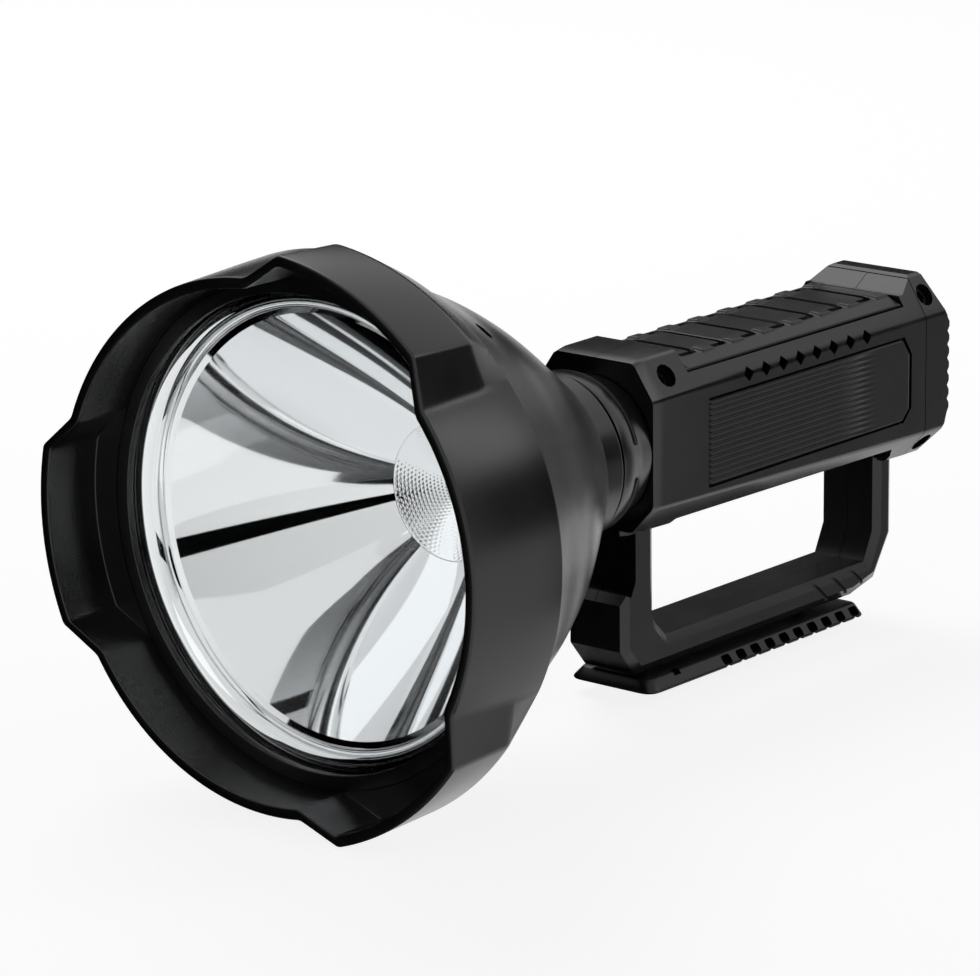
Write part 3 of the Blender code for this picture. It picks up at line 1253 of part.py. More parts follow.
def main():
    """Build every piece of the light."""
    clear_scene()
    axis = light_axis()
    black = finish_material("black_plastic", (0.018, 0.019, 0.021), 0.42)
    rubber = finish_material("black_rubber", (0.014, 0.014, 0.015), 0.72)
    chrome = finish_material("chrome_film", (0.86, 0.87, 0.88), 0.06, 1.0)
    clear = finish_material("clear_lens", (0.95, 0.97, 0.98), 0.03, 0.0, 0.25)
    steel = finish_material("dark_steel", (0.18, 0.18, 0.19), 0.38, 1.0)
    alloy = finish_material("bare_alloy", (0.60, 0.61, 0.62), 0.40, 1.0)
    board = finish_material("circuit_board", (0.03, 0.16, 0.07), 0.50)
    glow = finish_material("light_chip", (0.92, 0.80, 0.30), 0.35)
    sleeve = finish_material("cell_sleeve", (0.05, 0.18, 0.45), 0.40)
    hood(axis, black)
    square_ring("lens_bezel", LENS_OPENING_RADIUS, seal_outer, HOOD_DEPTH, bezel_back, LENS_SIDES, axis, black)
    lens(axis, clear)
    square_ring("lens_seal", seal_inner, seal_outer, lens_front, lens_back, LENS_SIDES, axis, rubber)
    reflector(axis, chrome)
    led_cup(axis, chrome)
    led_board(axis, board)
    led_emitter(axis, glow)
    heat_sink(axis, alloy)
    bell(axis, black)
    for index in range(BELL_SCREW_COUNT):
        bell_screw(axis, steel, index)
    neck_tube(axis, alloy)
    neck_seal(axis, rubber)
    neck_collar(axis, black)
    cutters = handle_cutters(axis)
    loop_body = loop_solid(axis)
    for side in (1, -1):
        handle_shell(axis, black, side, loop_body, cutters)
        side_panel(axis, rubber, side)
    top_pad(axis, rubber)
    rear_cap(axis, black, cutters)
    for name, seat, outward, sink in corner_screw_places():
        corner_screw(axis, steel, name, seat, outward, sink)
    for index in range(2):
        battery_cell(axis, sleeve, index)
    driver_board(axis, board)
    power_button(axis, rubber)
    power_switch(axis, black)
    charge_port(axis, alloy)
    port_flap(axis, rubber)
    flap_pin(axis, steel)
    foot_rail(axis, rubber, cutters)
    for index in range(2):
        foot_screw(axis, steel, index)


main()
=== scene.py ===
"""Studio picture of a hand-held searchlight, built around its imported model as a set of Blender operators."""

import math

import bmesh
import bpy
from bpy.props import (BoolProperty, FloatProperty, FloatVectorProperty, IntProperty, PointerProperty)
from mathutils import Matrix, Quaternion, Vector


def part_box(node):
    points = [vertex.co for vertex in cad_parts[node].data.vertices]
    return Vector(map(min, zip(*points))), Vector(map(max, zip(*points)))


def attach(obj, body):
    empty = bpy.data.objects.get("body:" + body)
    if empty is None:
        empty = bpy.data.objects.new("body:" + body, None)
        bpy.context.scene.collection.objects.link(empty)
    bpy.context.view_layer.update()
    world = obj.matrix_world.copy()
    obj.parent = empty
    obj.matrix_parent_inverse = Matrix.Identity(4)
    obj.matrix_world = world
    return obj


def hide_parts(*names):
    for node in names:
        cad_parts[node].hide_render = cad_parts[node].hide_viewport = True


bl_info = {
    "name": "Hand-held searchlight",
    "version": (1, 0, 0),
    "blender": (4, 5, 0),
    "location": "View3D > Sidebar > Searchlight",
    "description": "Builds a detailed hand-held searchlight and its studio around a packed model",
    "category": "Add Mesh",
}

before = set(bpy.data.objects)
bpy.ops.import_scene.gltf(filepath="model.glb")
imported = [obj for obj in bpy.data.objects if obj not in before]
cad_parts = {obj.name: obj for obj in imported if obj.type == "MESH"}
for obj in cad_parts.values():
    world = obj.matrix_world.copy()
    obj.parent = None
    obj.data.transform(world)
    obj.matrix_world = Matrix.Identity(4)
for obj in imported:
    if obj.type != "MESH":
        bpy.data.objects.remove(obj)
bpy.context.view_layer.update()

# Helpers for shapes
SHARP_ANGLE = math.radians(32)
CREASE_ANGLE = math.radians(9)


def centre_of(node):
    """Return the middle of a node's box."""
    low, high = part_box(node)
    return (low + high) / 2


def spread(low, high, step):
    """Return evenly spaced numbers from low to high, about a step apart."""
    count = max(1, round((high - low) / step))
    return [low + (high - low) * index / count for index in range(count + 1)]


def soften(points, size, closed=True, steps=4, turn_limit=math.radians(8)):
    """Round the corners of an outline, each by a given way along its edges."""
    result = []
    count = len(points)
    for index, point in enumerate(points):
        here = Vector(point)
        if not closed and index in (0, count - 1):
            result.append(here)
            continue
        before = Vector(points[index - 1]) - here
        after = Vector(points[(index + 1) % count]) - here
        own = size[index] if isinstance(size, (list, tuple)) else size
        if own == 0 or before.length == 0 or after.length == 0 or math.pi - before.angle(after) < turn_limit:
            result.append(here)
            continue
        first = here + before.normalized() * min(own, before.length * 0.45)
        last = here + after.normalized() * min(own, after.length * 0.45)
        for step in range(steps + 1):
            share = step / steps
            result.append(first * (1 - share) ** 2 + here * 2 * share * (1 - share) + last * share ** 2)
    return result


def lofted(name, loops, ring=False):
    """Skin loops of equal length, capped at both ends, or closed on itself as a ring."""
    mesh = bpy.data.meshes.new(name)
    shape = bmesh.new()
    rows = [[shape.verts.new(point) for point in loop] for loop in loops]
    pairs = list(zip(rows, rows[1:]))
    if ring:
        pairs.append((rows[-1], rows[0]))
    for low, high in pairs:
        for index in range(len(low)):
            after = (index + 1) % len(low)
            shape.faces.new((low[index], low[after], high[after], high[index]))
    if not ring:
        shape.faces.new(rows[0][::-1])
        shape.faces.new(rows[-1])
    bmesh.ops.recalc_face_normals(shape, faces=shape.faces)
    shape.to_mesh(mesh)
    shape.free()
    return mesh


def turned(name, profile, sides=192, centre=(0, 0), ring=True):
    """Turn a profile of (radius, y) pairs about an axis along Y through a point (x, z)."""
    loops = []
    for radius, y in profile:
        turns = [math.tau * index / sides for index in range(sides)]
        loops.append([(centre[0] + radius * math.cos(turn), y, centre[1] + radius * math.sin(turn)) for turn in turns])
    return lofted(name, loops, ring)


def show(mesh, material, body, stands_for, sharp=SHARP_ANGLE):
    """Put a finished mesh in the scene in place of the model's own nodes."""
    thing = bpy.data.objects.new(mesh.name, mesh)
    bpy.context.collection.objects.link(thing)
    mesh.materials.clear()
    mesh.materials.append(material)
    mesh.shade_smooth()
    mesh.set_sharp_from_angle(angle=sharp)
    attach(thing, body)
    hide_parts(*stands_for)
    return thing


def rounded_copy(node, width, material, body="light", segments=3, edge_angle=math.radians(28)):
    """Copy a node's mesh, clean its flat faces and round its edges."""
    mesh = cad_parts[node].data.copy()
    mesh.name = f"{node}_rounded"
    if mesh.has_custom_normals:
        mesh.normals_split_custom_set([(0, 0, 0)] * len(mesh.loops))
    shape = bmesh.new()
    shape.from_mesh(mesh)
    bmesh.ops.remove_doubles(shape, verts=shape.verts, dist=1e-6)
    bmesh.ops.dissolve_limit(shape, angle_limit=math.radians(1.0), verts=shape.verts, edges=shape.edges)
    for edge in shape.edges:
        fold = edge.calc_face_angle(0.0) if len(edge.link_faces) == 2 else 0.0
        edge.smooth = not CREASE_ANGLE < fold <= edge_angle
    shape.to_mesh(mesh)
    shape.free()
    thing = show(mesh, material, body, [node], sharp=math.pi)
    bevel = thing.modifiers.new("rounded_edges", "BEVEL")
    bevel.width = width
    bevel.segments = segments
    bevel.limit_method = "ANGLE"
    bevel.angle_limit = edge_angle
    bevel.use_clamp_overlap = True
    bevel.miter_outer = "MITER_ARC"
    level = thing.modifiers.new("flat_faces", "WEIGHTED_NORMAL")
    level.keep_sharp = True
    return thing


def cut(thing, cutters):
    """Cut a piece's mesh by a list of meshes and keep only the result."""
    helpers = []
    for mesh in cutters:
        helper = bpy.data.objects.new(mesh.name, mesh)
        bpy.context.collection.objects.link(helper)
        step = thing.modifiers.new(mesh.name, "BOOLEAN")
        step.operation = "DIFFERENCE"
        step.object = helper
        helpers.append(helper)
    bpy.context.view_layer.update()
    result = bpy.data.meshes.new_from_object(thing.evaluated_get(bpy.context.evaluated_depsgraph_get()))
    thing.modifiers.clear()
    name = thing.data.name
    thing.data = result
    result.name = name
    for helper in helpers:
        bpy.data.objects.remove(helper, do_unlink=True)
    return thing


# Shader groups that several materials share
def group_socket(group, name, kind="NodeSocketFloat", value=None, output=False):
    """Add a socket to a shader group."""
    socket = group.interface.new_socket(name, in_out="OUTPUT" if output else "INPUT", socket_type=kind)
    if value is not None:
        socket.default_value = value
    return socket


def new_group(name):
    """Return a new shader group with its input and output nodes."""
    group = bpy.data.node_groups.new(name, "ShaderNodeTree")
    return group, group.nodes.new("NodeGroupInput"), group.nodes.new("NodeGroupOutput")


def noise(group, vector, scale, detail=2.0, roughness=0.5):
    """Add a noise texture that reads a vector and a scale socket or number."""
    node = group.nodes.new("ShaderNodeTexNoise")
    node.inputs["Detail"].default_value = detail
    node.inputs["Roughness"].default_value = roughness
    group.links.new(vector, node.inputs["Vector"])
    if isinstance(scale, (int, float)):
        node.inputs["Scale"].default_value = scale
    else:
        group.links.new(scale, node.inputs["Scale"])
    return node.outputs["Fac"]


def moulded_grain_group():
    """Return a group that gives the fine pebbled surface of moulded plastic as a normal."""
    group, entry, result = new_group("moulded_grain")
    group_socket(group, "Scale", value=2600.0)
    group_socket(group, "Strength", value=0.1)
    group_socket(group, "Normal", "NodeSocketVector", output=True)
    place = group.nodes.new("ShaderNodeTexCoord")
    bump = group.nodes.new("ShaderNodeBump")
    bump.inputs["Distance"].default_value = 0.0002
    height = noise(group, place.outputs["Object"], entry.outputs["Scale"], detail=3.0, roughness=0.6)
    group.links.new(height, bump.inputs["Height"])
    group.links.new(entry.outputs["Strength"], bump.inputs["Strength"])
    group.links.new(bump.outputs["Normal"], result.inputs["Normal"])
    return group


def uneven_group():
    """Return a group that varies a value over the surface in soft patches."""
    group, entry, result = new_group("uneven_value")
    group_socket(group, "Value", value=0.4)
    group_socket(group, "Change", value=0.1)
    group_socket(group, "Scale", value=60.0)
    group_socket(group, "Value", output=True)
    place = group.nodes.new("ShaderNodeTexCoord")
    patches = noise(group, place.outputs["Object"], entry.outputs["Scale"], detail=5.0)
    spread = group.nodes.new("ShaderNodeMath")
    spread.operation = "SUBTRACT"
    spread.inputs[1].default_value = 0.5
    group.links.new(patches, spread.inputs[0])
    added = group.nodes.new("ShaderNodeMath")
    added.operation = "MULTIPLY_ADD"
    group.links.new(spread.outputs[0], added.inputs[0])
    group.links.new(entry.outputs["Change"], added.inputs[1])
    group.links.new(entry.outputs["Value"], added.inputs[2])
    group.links.new(added.outputs[0], result.inputs["Value"])
    return group


def dust_group():
    """Return a group that mixes a pale haze of fine dust and rubbing into a colour."""
    group, entry, result = new_group("light_dust")
    group_socket(group, "Colour", "NodeSocketColor", (0.0, 0.0, 0.0, 1.0))
    group_socket(group, "Dust", "NodeSocketColor", (0.2, 0.2, 0.2, 1.0))
    group_socket(group, "Amount", value=0.1)
    group_socket(group, "Colour", "NodeSocketColor", output=True)
    place = group.nodes.new("ShaderNodeTexCoord")
    patches = noise(group, place.outputs["Object"], 90.0, detail=8.0, roughness=0.7)
    ramp = group.nodes.new("ShaderNodeMapRange")
    ramp.inputs["From Min"].default_value = 0.45
    ramp.inputs["From Max"].default_value = 0.8
    group.links.new(patches, ramp.inputs["Value"])
    amount = group.nodes.new("ShaderNodeMath")
    amount.operation = "MULTIPLY"
    group.links.new(ramp.outputs["Result"], amount.inputs[0])
    group.links.new(entry.outputs["Amount"], amount.inputs[1])
    mix = group.nodes.new("ShaderNodeMix")
    mix.data_type = "RGBA"
    group.links.new(amount.outputs[0], mix.inputs["Factor"])
    group.links.new(entry.outputs["Colour"], mix.inputs["A"])
    group.links.new(entry.outputs["Dust"], mix.inputs["B"])
    group.links.new(mix.outputs["Result"], result.inputs["Colour"])
    return group


# Materials
def shader_of(name, colour, roughness, metallic=0.0):
    """Return a new material and its Principled node."""
    material = bpy.data.materials.new(name)
    material.use_nodes = True
    shader = material.node_tree.nodes["Principled BSDF"]
    shader.inputs["Base Color"].default_value = (*colour, 1.0)
    shader.inputs["Roughness"].default_value = roughness
    shader.inputs["Metallic"].default_value = metallic
    return material, shader


def use_group(material, group, output, target, **values):
    """Feed a socket of a material from a shader group."""
    node = material.node_tree.nodes.new("ShaderNodeGroup")
    node.node_tree = group
    for name, value in values.items():
        node.inputs[name].default_value = value
    material.node_tree.links.new(node.outputs[output], target)
    return node


def surface_material(name, colour, roughness, groups, grain=0.1, scale=2600.0, change=0.1, dust=0.05, metallic=0.0,
                     shine=0.5):
    """Return a moulded or metal material with grain, uneven gloss and a trace of dust."""
    material, shader = shader_of(name, colour, roughness, metallic)
    shader.inputs["Specular IOR Level"].default_value = shine
    use_group(material, groups["grain"], "Normal", shader.inputs["Normal"], Scale=scale, Strength=grain)
    use_group(material, groups["uneven"], "Value", shader.inputs["Roughness"], Value=roughness, Change=change)
    pale = tuple(min(1.0, part + 0.12) for part in colour)
    use_group(material, groups["dust"], "Colour", shader.inputs["Base Color"],
              Colour=(*colour, 1.0), Dust=(*pale, 1.0), Amount=dust)
    return material


def lens_material():
    """Return the clear lens, which lets the lamps' light through to what is behind it."""
    material, shader = shader_of("clear_lens", (0.97, 0.98, 0.98), 0.0)
    shader.inputs["Transmission Weight"].default_value = 1.0
    shader.inputs["IOR"].default_value = 1.46
    tree = material.node_tree
    clear = tree.nodes.new("ShaderNodeBsdfTransparent")
    path = tree.nodes.new("ShaderNodeLightPath")
    either = tree.nodes.new("ShaderNodeMath")
    either.operation = "MAXIMUM"
    tree.links.new(path.outputs["Is Shadow Ray"], either.inputs[0])
    tree.links.new(path.outputs["Is Diffuse Ray"], either.inputs[1])
    mix = tree.nodes.new("ShaderNodeMixShader")
    tree.links.new(either.outputs[0], mix.inputs["Fac"])
    tree.links.new(shader.outputs["BSDF"], mix.inputs[1])
    tree.links.new(clear.outputs["BSDF"], mix.inputs[2])
    tree.links.new(mix.outputs["Shader"], tree.nodes["Material Output"].inputs["Surface"])
    return material


def all_materials(finish):
    """Return every material of the light by its slot."""
    groups = {"grain": moulded_grain_group(), "uneven": uneven_group(), "dust": dust_group()}
    found = {
        "black_plastic": surface_material("black_plastic", tuple(finish.plastic), finish.plastic_roughness, groups,
                                          grain=finish.grain),
        "black_rubber": surface_material("black_rubber", tuple(finish.rubber), finish.rubber_roughness, groups,
                                         grain=finish.grain * 1.75, scale=1800.0, shine=0.36),
        "chrome_film": surface_material("chrome_film", (0.93, 0.94, 0.95), 0.035, groups, grain=0.004, scale=500.0,
                                        change=0.02, dust=0.0, metallic=1.0),
        "clear_lens": lens_material(),
        # dark_steel: partly the screws' own dark finish, partly painted shade, darkened so heads sunk in their holes
        # read black
        "dark_steel": surface_material("dark_steel", (0.030, 0.030, 0.032), 0.38, groups, grain=0.06, metallic=1.0),
        "bare_alloy": surface_material("bare_alloy", (0.58, 0.59, 0.60), 0.36, groups, grain=0.08, metallic=1.0),
        "circuit_board": surface_material("circuit_board", (0.03, 0.16, 0.07), 0.42, groups, grain=0.05, dust=0.1),
        "light_chip": surface_material("light_chip", (0.92, 0.80, 0.30), 0.30, groups, grain=0.02, dust=0.0),
        "cell_sleeve": surface_material("cell_sleeve", (0.05, 0.18, 0.45), 0.32, groups, grain=0.02, dust=0.05),
    }
    return found


def look(slot):
    """Return the material of a slot."""
    return bpy.data.materials[f"look_{slot}"]


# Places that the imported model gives
RIM_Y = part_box("hood")[0].y
AXIS_Z = centre_of("lens").z
BELL_BACK = 0.1000
BELL_FRONT = 0.0310


def shifted(points):
    """Move (radius, y) pairs from the rim to the model's frame."""
    return [(point[0], point[1] + RIM_Y) for point in points]


def on_axis(name, profile, sides=192, ring=True):
    """Turn a profile that is measured from the rim about the light's axis."""
    return turned(name, shifted(profile), sides, (0, AXIS_Z), ring)


def smooth_through(points, steps):
    """Return a smooth curve through points."""
    result = []
    last = len(points) - 1
    for index in range(last):
        p0, p1, p2, p3 = (Vector(points[max(0, min(last, index + off))]) for off in (-1, 0, 1, 2))
        for step in range(steps):
            t = step / steps
            result.append(0.5 * (2 * p1 + (p2 - p0) * t + (2 * p0 - 5 * p1 + 4 * p2 - p3) * t ** 2
                                 + (3 * p1 - p0 - 3 * p2 + p3) * t ** 3))
    result.append(Vector(points[-1]))
    return result


# The head
ARC_RADIUS = 0.0669
LOBE_RADIUS = 0.0741
CREASE_RADIUS = 0.0687
LOBE_TURN = math.radians(66.15)
LOBE_OUTER = math.radians(18.0)
LOBE_INNER = math.radians(26.8)
LOBE_STEPS = 18
ARC_STEPS = 36


def lobed_loop(arc, lobe, y, rounding):
    """Return one outline of the hood: three raised lobes with arcs between them and rounded corners."""
    outline = []
    sizes = []
    for index in range(3):
        middle = LOBE_TURN + math.tau * index / 3
        turns = [(middle - LOBE_INNER, arc, rounding * 1.6)]
        for part in range(LOBE_STEPS + 1):
            size = rounding if part in (0, LOBE_STEPS) else 0
            turns.append((middle + LOBE_OUTER * (2 * part / LOBE_STEPS - 1), lobe, size))
        turns.append((middle + LOBE_INNER, arc, rounding * 1.6))
        sweep = math.tau / 3 - 2 * LOBE_INNER
        for part in range(1, ARC_STEPS):
            turns.append((middle + LOBE_INNER + sweep * part / ARC_STEPS, arc, 0))
        outline += [(radius * math.cos(turn), radius * math.sin(turn)) for turn, radius, _ in turns]
        sizes += [size for _, _, size in turns]
    points = soften(outline, sizes, steps=5, turn_limit=0)
    return [(point.x, y + RIM_Y, point.y + AXIS_Z) for point in points]


def hood_mesh(rounding):
    """Loft the lobed hood with a soft rim, its bore, its shoulder and the spigot inside the bell."""
    path = [(ARC_RADIUS, LOBE_RADIUS, 0.0, 0.0007), (ARC_RADIUS + 0.0013, LOBE_RADIUS - 0.0007, 0.0212, 0.0013),
            (CREASE_RADIUS, CREASE_RADIUS, 0.0307, 0.0004), (0.0644, 0.0644, 0.0307, 0),
            (0.0552, 0.0552, 0.0497, 0), (0.0530, 0.0530, 0.0497, 0), (0.0612, 0.0612, 0.0307, 0),
            (0.0612, 0.0612, 0.0234, 0), (0.0639, 0.0639, 0.0234, 0), (0.0639, 0.0639, 0.0169, 0),
            (0.0641, 0.0713, 0.0169, 0.0004), (0.0641, 0.0713, 0.0, 0.0005)]
    rings = soften([point[:3] for point in path], [point[3] for point in path], steps=4)
    return lofted("hood_fine", [lobed_loop(*ring, rounding) for ring in rings], ring=True)


def bell_stations():
    """Return the bell's outer curve as (radius, distance from the rim) pairs."""
    shares = ((0.0, 1.0), (0.13, 0.889), (0.275, 0.763), (0.42, 0.65), (0.565, 0.511), (0.71, 0.348), (0.855, 0.174),
              (1.0, 0.0))
    tail, front = 0.0277, 0.0674
    return [(tail + (front - tail) * high, BELL_FRONT + (BELL_BACK - BELL_FRONT) * along) for along, high in shares]


def bell_mesh():
    """Turn the bell with its softened front edge and the step down to the neck."""
    outer = smooth_through(bell_stations(), 8)
    front = [Vector((outer[0].x - 0.0012, BELL_FRONT)), Vector((outer[0].x, BELL_FRONT + 0.0012))]
    boss = [Vector((0.0235, 0.1030)), Vector((0.0235, 0.1114)), Vector((0.0229, 0.1120))]
    path = soften(front, 0, closed=False) + outer[3:] + boss
    inside = [Vector((0.0153, 0.1120)), Vector((0.0153, 0.1000))]
    inside += [Vector((point.x - 0.0027, point.y)) for point in outer[::-4]]
    return on_axis("bell_fine", soften(path, 0.0004, closed=False) + inside, 224)


def screw_hole(index):
    """Make the cutter of one screw hole in the bell."""
    low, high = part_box(f"bell_screw_{index + 1}")
    middle = (low + high) / 2
    outward = Vector((middle.x, 0, middle.z - AXIS_Z)).normalized()
    outward = Vector((outward.x, 0.5, outward.z)).normalized()
    spin = outward.to_track_quat("Z", "Y").to_matrix()
    loops = []
    for along in (-0.006, 0.012):
        turns = [math.tau * part / 32 for part in range(32)]
        loops.append([middle + spin @ Vector((0.0027 * math.cos(turn), 0.0027 * math.sin(turn), along))
                      for turn in turns])
    return lofted(f"screw_cut_{index + 1}", loops)


# The optics
DISH_FRONT = 0.0269
DISH_BACK = 0.0709
DISH_FRONT_RADIUS = 0.0536
DISH_BACK_RADIUS = 0.0180
DISH_CONE_SHARE = 0.6


def dish_curve(steps, offset=0.0):
    """Return the reflector's curve from front to back, between a parabola and a cone."""
    points = []
    for index in range(steps + 1):
        radius = DISH_FRONT_RADIUS + (DISH_BACK_RADIUS - DISH_FRONT_RADIUS) * index / steps
        parabola = (radius ** 2 - DISH_BACK_RADIUS ** 2) / (DISH_FRONT_RADIUS ** 2 - DISH_BACK_RADIUS ** 2)
        cone = (radius - DISH_BACK_RADIUS) / (DISH_FRONT_RADIUS - DISH_BACK_RADIUS)
        share = parabola * (1 - DISH_CONE_SHARE) + cone * DISH_CONE_SHARE
        points.append((radius + offset, DISH_BACK - (DISH_BACK - DISH_FRONT) * share))
    return points


def reflector_mesh():
    """Turn the reflector: flange, flared collar with its bright rings and the bowl."""
    inner = DISH_FRONT_RADIUS + 0.0015
    flare = []
    for index in range(25):
        turn = math.pi / 2 * index / 24
        flare.append((inner + (0.0600 - inner) * (1 - math.sin(turn)), 0.0217 + 0.0046 * (1 - math.cos(turn))))
    path = [(0.0636, 0.0217)] + flare + dish_curve(72)
    back = [(radius, y) for radius, y in dish_curve(24, 0.0012)][::-1]
    back += [(inner + 0.0012, 0.0243), (0.0600, 0.0231), (0.0636, 0.0231)]
    return on_axis("reflector_fine", path + back, 288)


def cup_mesh(cells, depth):
    """Make the honeycomb cup at the bottom of the reflector, a cone whose inside is a lattice of domed cells."""
    sides = cells * 6
    rows = 72
    front, back = (0.0180, 0.0712), (0.0080, 0.0822)
    slant = Vector(front) - Vector(back)
    normal = Vector((-slant.y, slant.x)).normalized()
    loops = []
    for row in range(rows + 1):
        share = row / rows
        radius = front[0] + (back[0] - front[0]) * share
        y = front[1] + (back[1] - front[1]) * share
        loop = []
        for side in range(sides):
            turn = math.tau * side / sides
            lift = cell_lift(share * slant.length, turn / math.tau * cells, math.tau * 0.0130 / cells, depth)
            own = radius + normal.x * lift
            loop.append((own * math.cos(turn), y + normal.y * lift + RIM_Y, AXIS_Z + own * math.sin(turn)))
        loops.append(loop)
    for radius, y in ((0.0092, 0.0822), (0.0192, 0.0712)):
        turns = [math.tau * side / sides for side in range(sides)]
        loops.append([(radius * math.cos(turn), y + RIM_Y, AXIS_Z + radius * math.sin(turn)) for turn in turns])
    return lofted("led_cup_fine", loops, ring=True)


def cell_lift(along, across, pitch, depth):
    """Return how deep the nearest honeycomb cell is at a point, given across in cells and along in metres."""
    row_pitch = pitch * math.sqrt(3) / 2
    best = 1e9
    nearest_row = round(along / row_pitch)
    for row in (nearest_row - 1, nearest_row, nearest_row + 1):
        shift = 0.5 * (row % 2)
        column = round(across - shift) + shift
        gap = math.hypot((across - column) * pitch, along - row * row_pitch)
        best = min(best, gap)
    return -depth * (1 - min(1.0, (best / (pitch * 0.58)) ** 2))


def lens_mesh():
    """Turn the flat lens with its ground edges."""
    path = [(0.0614, 0.0192), (0.0618, 0.0196), (0.0618, 0.0210), (0.0614, 0.0214)]
    return on_axis("lens_fine", path, 224, ring=False)


def bezel_mesh():
    """Turn the ring that holds the lens, with a soft step at its mouth."""
    path = soften([(0.0600, 0.0169), (0.0636, 0.0169), (0.0639, 0.0172), (0.0639, 0.0189), (0.0600, 0.0189)],
                  [0.0003, 0.0001, 0.0001, 0, 0])
    return on_axis("lens_bezel_fine", path, 224)


# The neck's collar
COLLAR_FRONT = 0.1136
COLLAR_BACK = 0.1287
RIB_PLACE = 0.1202
RIB_START = math.radians(14)
RIB_SWEEP = math.radians(97)
RIB_STEPS = 64


def collar_radius(y):
    """Return the collar's outer radius at a distance from the rim."""
    share = (y - COLLAR_FRONT) / (COLLAR_BACK - COLLAR_FRONT)
    return 0.0224 - 0.0031 * share + 0.0006 * math.sin(math.pi * min(1.0, share * 1.6)) * (1 - share)


def collar_mesh():
    """Turn the collar as a soft barrel that narrows towards the grip."""
    outer = [(collar_radius(y), y) for y in spread(COLLAR_FRONT, COLLAR_BACK, 0.0008)]
    path = soften([(0.0153, COLLAR_FRONT)] + outer + [(0.0153, COLLAR_BACK)], 0.0003, steps=3)
    return on_axis("neck_collar_fine", path, 192)


def collar_rib_mesh(index):
    """Make one thin double ridge around the collar, rounded at both ends."""
    loops = []
    section = ((-0.00085, 0.0), (-0.0006, 0.00042), (-0.00035, 0.00042), (-0.00018, 0.00008), (0.00018, 0.00008),
               (0.00035, 0.00042), (0.0006, 0.00042), (0.00085, 0.0))
    start = RIB_START + math.tau * index / 3
    for part in range(RIB_STEPS + 1):
        turn = start + RIB_SWEEP * part / RIB_STEPS
        end = min(part, RIB_STEPS - part) / 2
        width = math.sqrt(1 - (1 - min(1.0, end)) ** 2) * 0.95 + 0.05
        loop = []
        for across, rise in section:
            y = RIB_PLACE + across * width
            radius = collar_radius(y) + rise
            loop.append((radius * math.cos(turn), y + RIM_Y, AXIS_Z + radius * math.sin(turn)))
        for across in (0.0008, -0.0008):
            radius = collar_radius(RIB_PLACE) - 0.0006
            loop.append((radius * math.cos(turn), RIB_PLACE + across * width + RIM_Y, AXIS_Z + radius * math.sin(turn)))
        loops.append(loop)
    return lofted(f"collar_rib_{index + 1}", loops)


# The foot rail
FOOT_HALF = 0.0140
FOOT_TOP_HALF = 0.0116
FOOT_NOTCHES = 10
FOOT_NOTCH_START = 0.0342
FOOT_NOTCH_END = 0.0037


def foot_notch_places():
    """Return the distance of each tread notch along the model."""
    low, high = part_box("foot_rail")
    first, last = low.y + FOOT_NOTCH_START, high.y - FOOT_NOTCH_END
    return [first + (last - first) * index / (FOOT_NOTCHES - 1) for index in range(FOOT_NOTCHES)]


def foot_mesh():
    """Loft the foot rail with rounded ends, sloping sides and soft edges."""
    low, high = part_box("foot_rail")
    rise = high.z - low.z - 0.0010
    heights = ((0.0, -0.0005), (0.00015, -0.00015), (0.0005, 0.0), (0.0009, 0.0), (rise - 0.0004, 0.0),
               (rise - 0.0001, -0.00015), (rise, -0.0005))
    loops = []
    for z, inset in heights:
        share = max(0.0, (z - 0.0007) / (rise - 0.0007))
        half = FOOT_HALF + (FOOT_TOP_HALF - FOOT_HALF) * share + inset
        front, back = low.y + 0.0016 * share - inset, high.y - 0.0006 * share + inset
        plan = soften([(-half, front), (half, front), (half, back), (-half, back)],
                      [0.0042, 0.0042, 0.0022, 0.0022], steps=8)
        loops.append([(point.x, point.y, low.z + z) for point in plan])
    return lofted("foot_rail_fine", loops)


def foot_cutters():
    """Make the foot's cutters: shallow cross grooves, a deep pocket at both ends of each, and two edge notches."""
    low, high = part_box("foot_rail")
    made = []
    for index, y in enumerate(foot_notch_places()):
        outline = soften([(-0.0014, -0.001), (-0.0011, 0.0006), (0.0011, 0.0006), (0.0014, -0.001)], 0.0004, steps=3)
        loops = [[(x, y + point.x, low.z + point.y) for point in outline] for x in (-0.02, 0.02)]
        made.append(lofted(f"tread_cut_{index + 1}", loops))
        pocket = soften([(-0.0019, 0.0009), (-0.0019, 0.0031), (0.0019, 0.0031), (0.0019, 0.0009)], 0.0008, steps=4)
        for side in (-1, 1):
            loops = [[(x, y + point.x, low.z + point.y) for point in pocket] for x in (side * 0.0105, side * 0.02)]
            made.append(lofted(f"pocket_cut_{index + 1}", loops))
    for side in (-1, 1):
        place, upper = low.y + 0.0135, high.z - 0.0010
        loops = [[(x, place - 0.0014, upper - 0.0011), (x, place + 0.0014, upper - 0.0011),
                  (x, place + 0.0014, upper + 0.0006), (x, place - 0.0014, upper + 0.0006)]
                 for x in (side * 0.0100, side * 0.02)]
        made.append(lofted("edge_notch_cut", loops))
    return made


# The grip's pads
def eased(value, low, high):
    """Return a smooth step from 0 at low to 1 at high."""
    share = max(0.0, min(1.0, (value - low) / (high - low)))
    return share * share * (3 - 2 * share)


def way_to(x, y, start, end):
    """Return the distance of a point from a straight piece of a groove."""
    run = (end[0] - start[0], end[1] - start[1])
    share = ((x - start[0]) * run[0] + (y - start[1]) * run[1]) / (run[0] ** 2 + run[1] ** 2)
    share = max(0.0, min(1.0, share))
    return math.hypot(x - start[0] - run[0] * share, y - start[1] - run[1] * share)


def hook_path(y, reach, tail, corner):
    """Return a cross groove that turns towards the front at its end, with a rounded corner."""
    points = soften([(0, y), (reach, y), (reach, y - tail)], corner, closed=False, steps=5)
    return [(point.x, point.y) for point in points]


